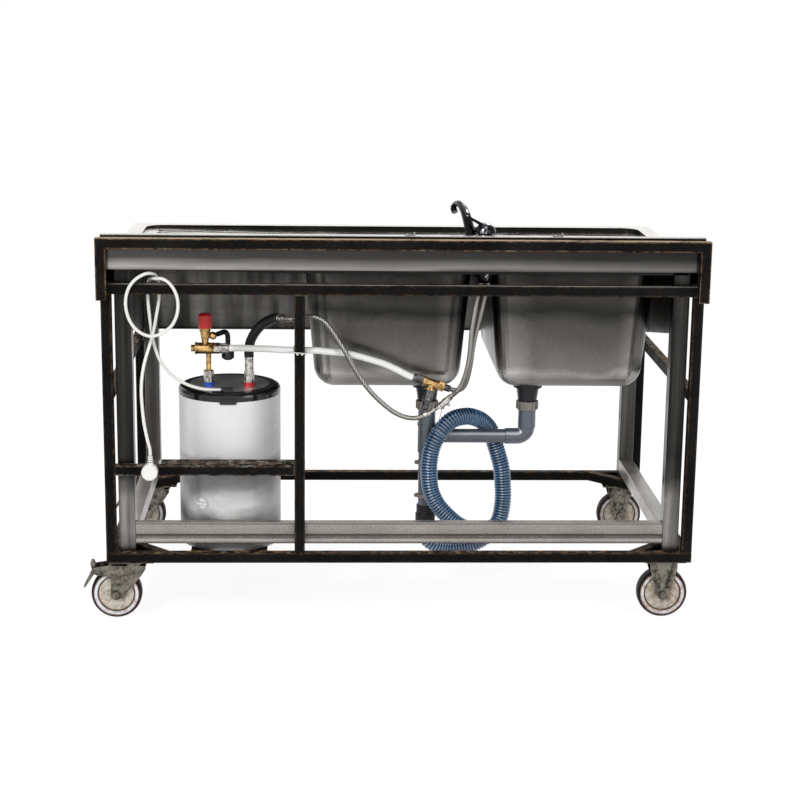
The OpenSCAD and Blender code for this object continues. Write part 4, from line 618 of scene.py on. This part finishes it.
def metal(name, dark, light, rough, scale=70.0, shade_reach=0.006):
    """Small cast or turned metal pieces with stains, lighter along their edges, and painted shade in their
    recesses and on their undersides.
    """
    s = Shader(name)
    stain = s.span(s.noise(scale, 4.0, rough=0.65), 0.34, 0.60)
    # Painted shade on the undersides.
    underside_shade = s.span(s.normals()[2], -0.9, -0.1, 0.25, 1.0)
    # Painted shade in the recesses.
    tone = s.times(s.math("MAXIMUM", stain, s.times(s.edges(0.0012), 0.9)), s.open_air(shade_reach), underside_shade)
    s.set(Base_Color=s.mix(tone, dark, light), Metallic=1.0,
          Roughness=s.span(s.noise(scale * 1.7, 3.0), 0.3, 0.7, rough, rough + 0.16),
          Normal=s.bump(s.noise(scale * 8, 2.0), 0.08, 0.0003, s.rounded(0.0006)))
    return s.material


def painted_reflection_chrome(name):
    """Polished tap with painted reflections: near black as if mirroring a dark room, with painted highlights
    on its upper faces and painted glints.
    """
    s = Shader(name)
    nx, _, nz = s.normals()
    waves = s.span(s.noise(30.0, 3.0), 0.3, 0.7, -0.1, 0.1)
    lit = s.span(s.add(nz, s.times(nx, 0.25), waves), 0.84, 0.97)
    glints = s.span(s.noise(38.0, 3.0, s.stretched(1.0, 1.0, 0.4)), 0.60, 0.66, 0.0, 0.5)
    bright = s.math("MAXIMUM", lit, glints)
    # The near-black base is a painted dark reflection; the light colour is a painted highlight.
    s.set(Base_Color=s.mix(bright, (0.012, 0.012, 0.014), (0.80, 0.81, 0.83)), Metallic=1.0,
          Roughness=s.span(s.noise(50.0, 2.0), 0.3, 0.7, 0.06, 0.14))
    return s.material


# Strands each way round a braided hose, and their wave along it in radians to the metre
BRAID_STRANDS = 6
BRAID_WAVE = 900.0


def braid(name):
    """Woven steel wire round a hose, from the run of the tube, with painted shade darkening its underside.
    """
    s = Shader(name)
    run = s.node("ShaderNodeUVMap")
    run.uv_map = "run"
    u, v, _ = s.axes(run.outputs["UV"])
    around = s.times(u, 2 * math.pi * BRAID_STRANDS)
    along = s.times(v, BRAID_WAVE)
    weave = s.math("MAXIMUM", s.math("SINE", s.add(around, along)), s.math("SINE", s.less(around, along)))
    # Painted shade on the underside.
    light = s.mix(s.span(s.normals()[2], -0.6, 0.4), (0.14, 0.132, 0.118), (0.60, 0.585, 0.55))
    s.set(Base_Color=s.mix(s.span(weave, -0.3, 0.9), (0.025, 0.023, 0.02), light), Metallic=1.0,
          Roughness=0.3, Normal=s.bump(weave, 0.6, 0.0006))
    return s.material


def ribbed_blue(name):
    """Blue ribbed plastic: painted shade near-black in the grooves, lighter on the crests, with a line of
    painted highlights.
    """
    s = Shader(name)
    rib = s.node("ShaderNodeAttribute")
    rib.attribute_name = "rib"
    height = rib.outputs["Fac"]
    tone = s.noise(24.0, 3.0)
    blue = s.mix(s.span(tone, 0.35, 0.65), (0.026, 0.105, 0.24), (0.052, 0.18, 0.38))
    nx, ny, _ = s.normals()
    # Painted highlights along a line on the crests.
    line = s.times(s.span(s.math("ABSOLUTE", s.add(nx, 0.16)), 0.04, 0.13, 1.0, 0.0), s.span(ny, -0.5, -0.7))
    glint = s.times(line, s.span(height, 0.75, 0.95), s.span(tone, 0.40, 0.60, 0.5, 1.0))
    crest = s.mix(glint, blue, (0.86, 0.87, 0.88))
    # Painted shade makes the grooves near black.
    s.set(Base_Color=s.mix(s.span(height, 0.35, 0.90), (0.002, 0.004, 0.009), crest),
          Roughness=0.24, Normal=s.bump(s.noise(500.0, 2.0), 0.05, 0.0003),
          Coat_Weight=0.5, Coat_Roughness=0.10)
    return s.material


# Where a wheel changes from its centre to the groove, the ring and the tyre, in metres from its axle
GROOVE_RADIUS = 0.0450
RIM_RADIUS = 0.0558
TYRE_RADIUS = 0.0560


def wheel(name, centre, grime):
    """Black tyre, pale centre with a rusty groove, and a stained hub. A low grime value stains more."""
    s = Shader(name)
    x, _, z = s.axes(s.moved(centre))
    r = s.math("SQRT", s.add(s.times(x, x), s.times(z, z)))
    dirt = s.noise(60.0, 5.0, rough=0.7)
    rusty = s.span(s.noise(150.0, 4.0, rough=0.7), 0.40, 0.62)
    pale = s.mix(s.span(r, 0.0440, 0.0455), (0.60, 0.565, 0.49), (0.76, 0.76, 0.80))
    pale = s.mix(s.span(dirt, grime, grime + 0.32), pale, (0.26, 0.18, 0.12))
    rust = s.mix(rusty, (0.030, 0.010, 0.005), (0.22, 0.08, 0.03))
    groove = s.span(s.math("ABSOLUTE", s.less(r, GROOVE_RADIUS)), 0.0012, 0.0026, 1.0, 0.0)
    rim = s.span(s.math("ABSOLUTE", s.less(r, RIM_RADIUS)), 0.0006, 0.0022, 1.0, 0.0)
    hub = s.times(s.span(r, 0.014, 0.030, 1.0, 0.0), s.span(dirt, grime, grime + 0.16))
    stained = s.math("MAXIMUM", s.math("MAXIMUM", groove, rim), hub, clamp=True)
    rusted = s.span(s.noise(90.0, 4.0, rough=0.7), 0.56, 0.70)
    tyre = s.mix(rusted, (0.007, 0.006, 0.006), (0.10, 0.035, 0.014))
    face = s.mix(s.times(stained, 0.9), pale, rust)
    s.set(Base_Color=s.mix(s.span(r, TYRE_RADIUS, TYRE_RADIUS + 0.001), face, tyre),
          Roughness=s.span(dirt, 0.3, 0.7, 0.38, 0.62),
          Normal=s.bump(s.noise(220.0, 3.0), 0.12, 0.0005, s.rounded(0.0012)),
          Specular_IOR_Level=0.12)
    return s.material


def stub_colours(name):
    """The heater's two rings: blue on the cold stub and red on the hot one."""
    s = Shader(name)
    hot_side = s.span(s.axes()[0], -0.400, -0.399)
    s.set(Base_Color=s.mix(hot_side, BLUE, RED), Roughness=s.span(s.noise(200.0), 0.3, 0.7, 0.25, 0.4))
    return s.material


def dress(material, *names):
    """Gives the named solids a material, in every slot that they have."""
    for name in names:
        if not nodes[name].material_slots:
            nodes[name].data.materials.append(material)
        for slot in nodes[name].material_slots:
            slot.material = material


def cover(material, *hoses):
    """Gives the hoses made here their material."""
    for hose in hoses:
        hose.data.materials.append(material)


# The lighter top line is a painted highlight on the frame's rails, and worn gold metal on the rim.
dress(paint("black_paint", GOLD, RUST, top_highlight_and_wear=(0.62, 0.60, 0.57), edge_wear=0.35),
      "long_rails", "end_rails", "uprights", "corner_braces")
dress(paint("black_rim", GOLD, RUST, top_highlight_and_wear=(0.30, 0.23, 0.15)), "rim_frame")
dress(paint("black_guard", PALE_GOLD, RUST, top_highlight_and_wear=(0.30, 0.29, 0.28), edge_wear=0.8),
      "guard_rails", "shelf_bars")

dress(steel("steel_top", top_painted_light, "X", rough=0.24, contrast=0.10), "sink_top")
dress(steel("steel_left_bowl", bowl_painted_light(LEFT_BOWL_X), "Z", rough=0.30, contrast=0.12), "left_bowl")
dress(steel("steel_right_bowl", bowl_painted_light(RIGHT_BOWL_X), "Z", rough=0.30, contrast=0.12), "right_bowl")
dress(steel("steel_panel", panel_painted_light, "X", rough=0.36, contrast=0.25), "front_panel", "side_panels")
dress(steel("steel_leg", leg_painted_light, "Z", rough=0.30, contrast=0.15, specks=0.2), "sink_legs")
dress(steel("steel_rail", rail_painted_light, "X", rough=0.36, contrast=0.14, specks=0.55, top=0.42, tint=RAIL_WARM),
      "rear_lower_rail")
dress(steel("steel_side_rail", even(0.40), "Y", rough=0.36, contrast=0.20, specks=0.3), "side_lower_rails")
dress(steel("steel_back", back_painted_light, "X", rough=0.24, contrast=0.10, top=0.70), "upstand")
dress(steel("steel_disc", even(0.80), "X", rough=0.40, contrast=0.2, tint=WHITE),
      "heater_disc", "heater_tank")

dress(metal("screw_steel", (0.05, 0.04, 0.035), (0.42, 0.39, 0.35), 0.35), "sink_screws")
dress(metal("strainer_steel", (0.35, 0.35, 0.35), (0.75, 0.75, 0.75), 0.15), "waste_strainers")
dress(metal("brass", (0.05, 0.020, 0.006), (0.78, 0.50, 0.20), 0.20), "valve_body", "inlet_tee")
dress(metal("nickel", (0.045, 0.042, 0.038), (0.74, 0.71, 0.66), 0.18), "valve_nuts", "hose_fittings")
dress(metal("coupler_dark", (0.010, 0.010, 0.011), (0.16, 0.16, 0.165), 0.28), "quick_connector")
dress(metal("castor_zinc", (0.012, 0.011, 0.010), (0.22, 0.20, 0.165), 0.36, scale=60.0, shade_reach=0.03),
      "castor_plates", "fixed_forks", "near_swivel_fork", "far_swivel_fork", "near_brake_pedal",
      "far_brake_pedal")
dress(painted_reflection_chrome("chrome_painted_reflections"), "tap_body", "tap_spout", "tap_cap", "tap_lever")
dress(enamel("enamel_white"), "heater_casing")
dress(stub_colours("ring_colours"), "stub_rings")

dress(plastic("waste_black", (0.014, 0.015, 0.018), 0.30, specular=0.25), "waste_bodies")
dress(plastic("nut_grey", (0.20, 0.185, 0.165), 0.42), "waste_nuts", "pipe_clips")
dress(plastic("pipe_grey", (0.075, 0.090, 0.115), 0.18, coat=0.4, glint=(0.50, 0.53, 0.57)),
      "pipe_fittings", "waste_pipes")
dress(plastic("cuff_black", (0.012, 0.013, 0.015), 0.42, specular=0.25), "hose_cuffs")
dress(plastic("string_grey", (0.30, 0.29, 0.27), 0.6), "hose_tie")
dress(plastic("tie_white", (0.74, 0.73, 0.70), 0.5), "cable_tie")
dress(plastic("cap_black", (0.007, 0.007, 0.008), 0.14, coat=0.3, specular=0.3),
      "heater_cap", "relief_outlet")
dress(plastic("cap_red", (0.50, 0.008, 0.012), 0.25, vary=0.35, coat=0.2, shade_reach=0.008), "test_cap")
dress(plastic("knob_white", (0.74, 0.74, 0.73), 0.25, vary=0.04), "thermostat_knob")
dress(plastic("white_plug", (0.76, 0.755, 0.72), 0.25, vary=0.05), "power_plug")

# The wheels' axles in millimetres from the trolley's middle, and how little each pair is stained
AXLE_Y = 346.5
AXLE_Z = 62.5
for end, x, grime in (("left", -704, 0.44), ("right", 660, 0.36)):
    for side, y in (("near", -AXLE_Y), ("far", AXLE_Y)):
        dress(wheel(f"wheel_{side}_{end}", at(x, y, AXLE_Z), grime), f"{side}_{end}_wheel")

cover(plastic("cord_white", (0.76, 0.75, 0.71), 0.3, vary=0.05), power_cord)
cover(plastic("hose_white", (0.78, 0.78, 0.76), 0.28, vary=0.05), cold_hose)
cover(plastic("hose_black", (0.010, 0.010, 0.011), 0.38, specular=0.25), hot_hose)
cover(ribbed_blue("hose_blue"), drain_hose)
cover(braid("braid_steel"), hot_tail, mixer_hot, mixer_cold)


# Stage and light

FLOOR_REACH = 80.0
FLOOR_GREY = (0.86, 0.86, 0.86, 1.0)
FLOOR_GLOW = 1.13
FLOOR_GLOW_SHARE = 0.8
ROOM_LIGHT = 0.55
LIT_POINT = (0.0, 0.0, 0.5)


def rays(tree, *kinds):
    """1 for a light path of one of these kinds and 0 for the others."""
    path = tree.nodes.new("ShaderNodeLightPath")
    found = path.outputs[kinds[0]]
    for kind in kinds[1:]:
        larger = tree.nodes.new("ShaderNodeMath")
        larger.operation = "MAXIMUM"
        tree.links.new(found, larger.inputs[0])
        tree.links.new(path.outputs[kind], larger.inputs[1])
        found = larger.outputs[0]
    return found


def make_floor():
    """A white floor that glows for the camera and for mirrors, and is matt for the rest."""
    mesh = bpy.data.meshes.new("floor")
    r = FLOOR_REACH
    mesh.from_pydata([(-r, -r, 0), (r, -r, 0), (r, r, 0), (-r, r, 0)], [], [(0, 1, 2, 3)])
    floor = bpy.data.objects.new("floor", mesh)
    bpy.context.scene.collection.objects.link(floor)
    material = bpy.data.materials.new("floor_white")
    material.use_nodes = True
    tree = material.node_tree
    tree.nodes.clear()
    out = tree.nodes.new("ShaderNodeOutputMaterial")
    matt = tree.nodes.new("ShaderNodeBsdfDiffuse")
    matt.inputs["Color"].default_value = FLOOR_GREY
    glow = tree.nodes.new("ShaderNodeEmission")
    glow.inputs["Strength"].default_value = FLOOR_GLOW
    share = tree.nodes.new("ShaderNodeMath")
    share.operation = "MULTIPLY"
    share.inputs[1].default_value = FLOOR_GLOW_SHARE
    mixed = tree.nodes.new("ShaderNodeMixShader")
    tree.links.new(rays(tree, "Is Camera Ray", "Is Glossy Ray"), share.inputs[0])
    tree.links.new(share.outputs[0], mixed.inputs["Fac"])
    tree.links.new(matt.outputs[0], mixed.inputs[1])
    tree.links.new(glow.outputs[0], mixed.inputs[2])
    tree.links.new(mixed.outputs[0], out.inputs["Surface"])
    mesh.materials.append(material)


def make_world():
    """White all round for the camera and in mirrors, and half as bright as a light."""
    world = bpy.data.worlds.new("studio")
    bpy.context.scene.world = world
    world.use_nodes = True
    tree = world.node_tree
    level = tree.nodes.new("ShaderNodeMapRange")
    level.inputs["To Min"].default_value = ROOM_LIGHT
    level.inputs["To Max"].default_value = 1.0
    seen = rays(tree, "Is Camera Ray", "Is Glossy Ray", "Is Transmission Ray")
    background = tree.nodes["Background"]
    tree.links.new(seen, level.inputs["Value"])
    tree.links.new(level.outputs["Result"], background.inputs["Strength"])
    background.inputs["Color"].default_value = (1.0, 1.0, 1.0, 1.0)


def make_lamp(name, place, size, power):
    """An area lamp turned towards the part's middle."""
    lamp = bpy.data.objects.new(name, bpy.data.lights.new(name, "AREA"))
    lamp.data.shape = "RECTANGLE"
    lamp.data.size, lamp.data.size_y = size
    lamp.data.energy = power
    lamp.location = place
    lamp.rotation_euler = (Vector(LIT_POINT) - Vector(place)).to_track_quat("-Z", "Y").to_euler()
    bpy.context.scene.collection.objects.link(lamp)


make_floor()
make_world()
make_lamp("key", (-2.2, -3.6, 3.2), (0.8, 0.8), 95.0)
make_lamp("fill", (2.8, -3.2, 1.8), (1.6, 2.2), 45.0)
make_lamp("top", (0.0, 0.4, 3.4), (3.0, 2.0), 60.0)
bpy.context.scene.view_settings.view_transform = "Standard"

# Smooth shading on the curved solids, with sharp edges kept
SHARP_ANGLE = math.radians(34)
for made in nodes.values():
    if not made.hide_render:
        for polygon in made.data.polygons:
            polygon.use_smooth = True
        made.data.set_sharp_from_angle(angle=SHARP_ANGLE)
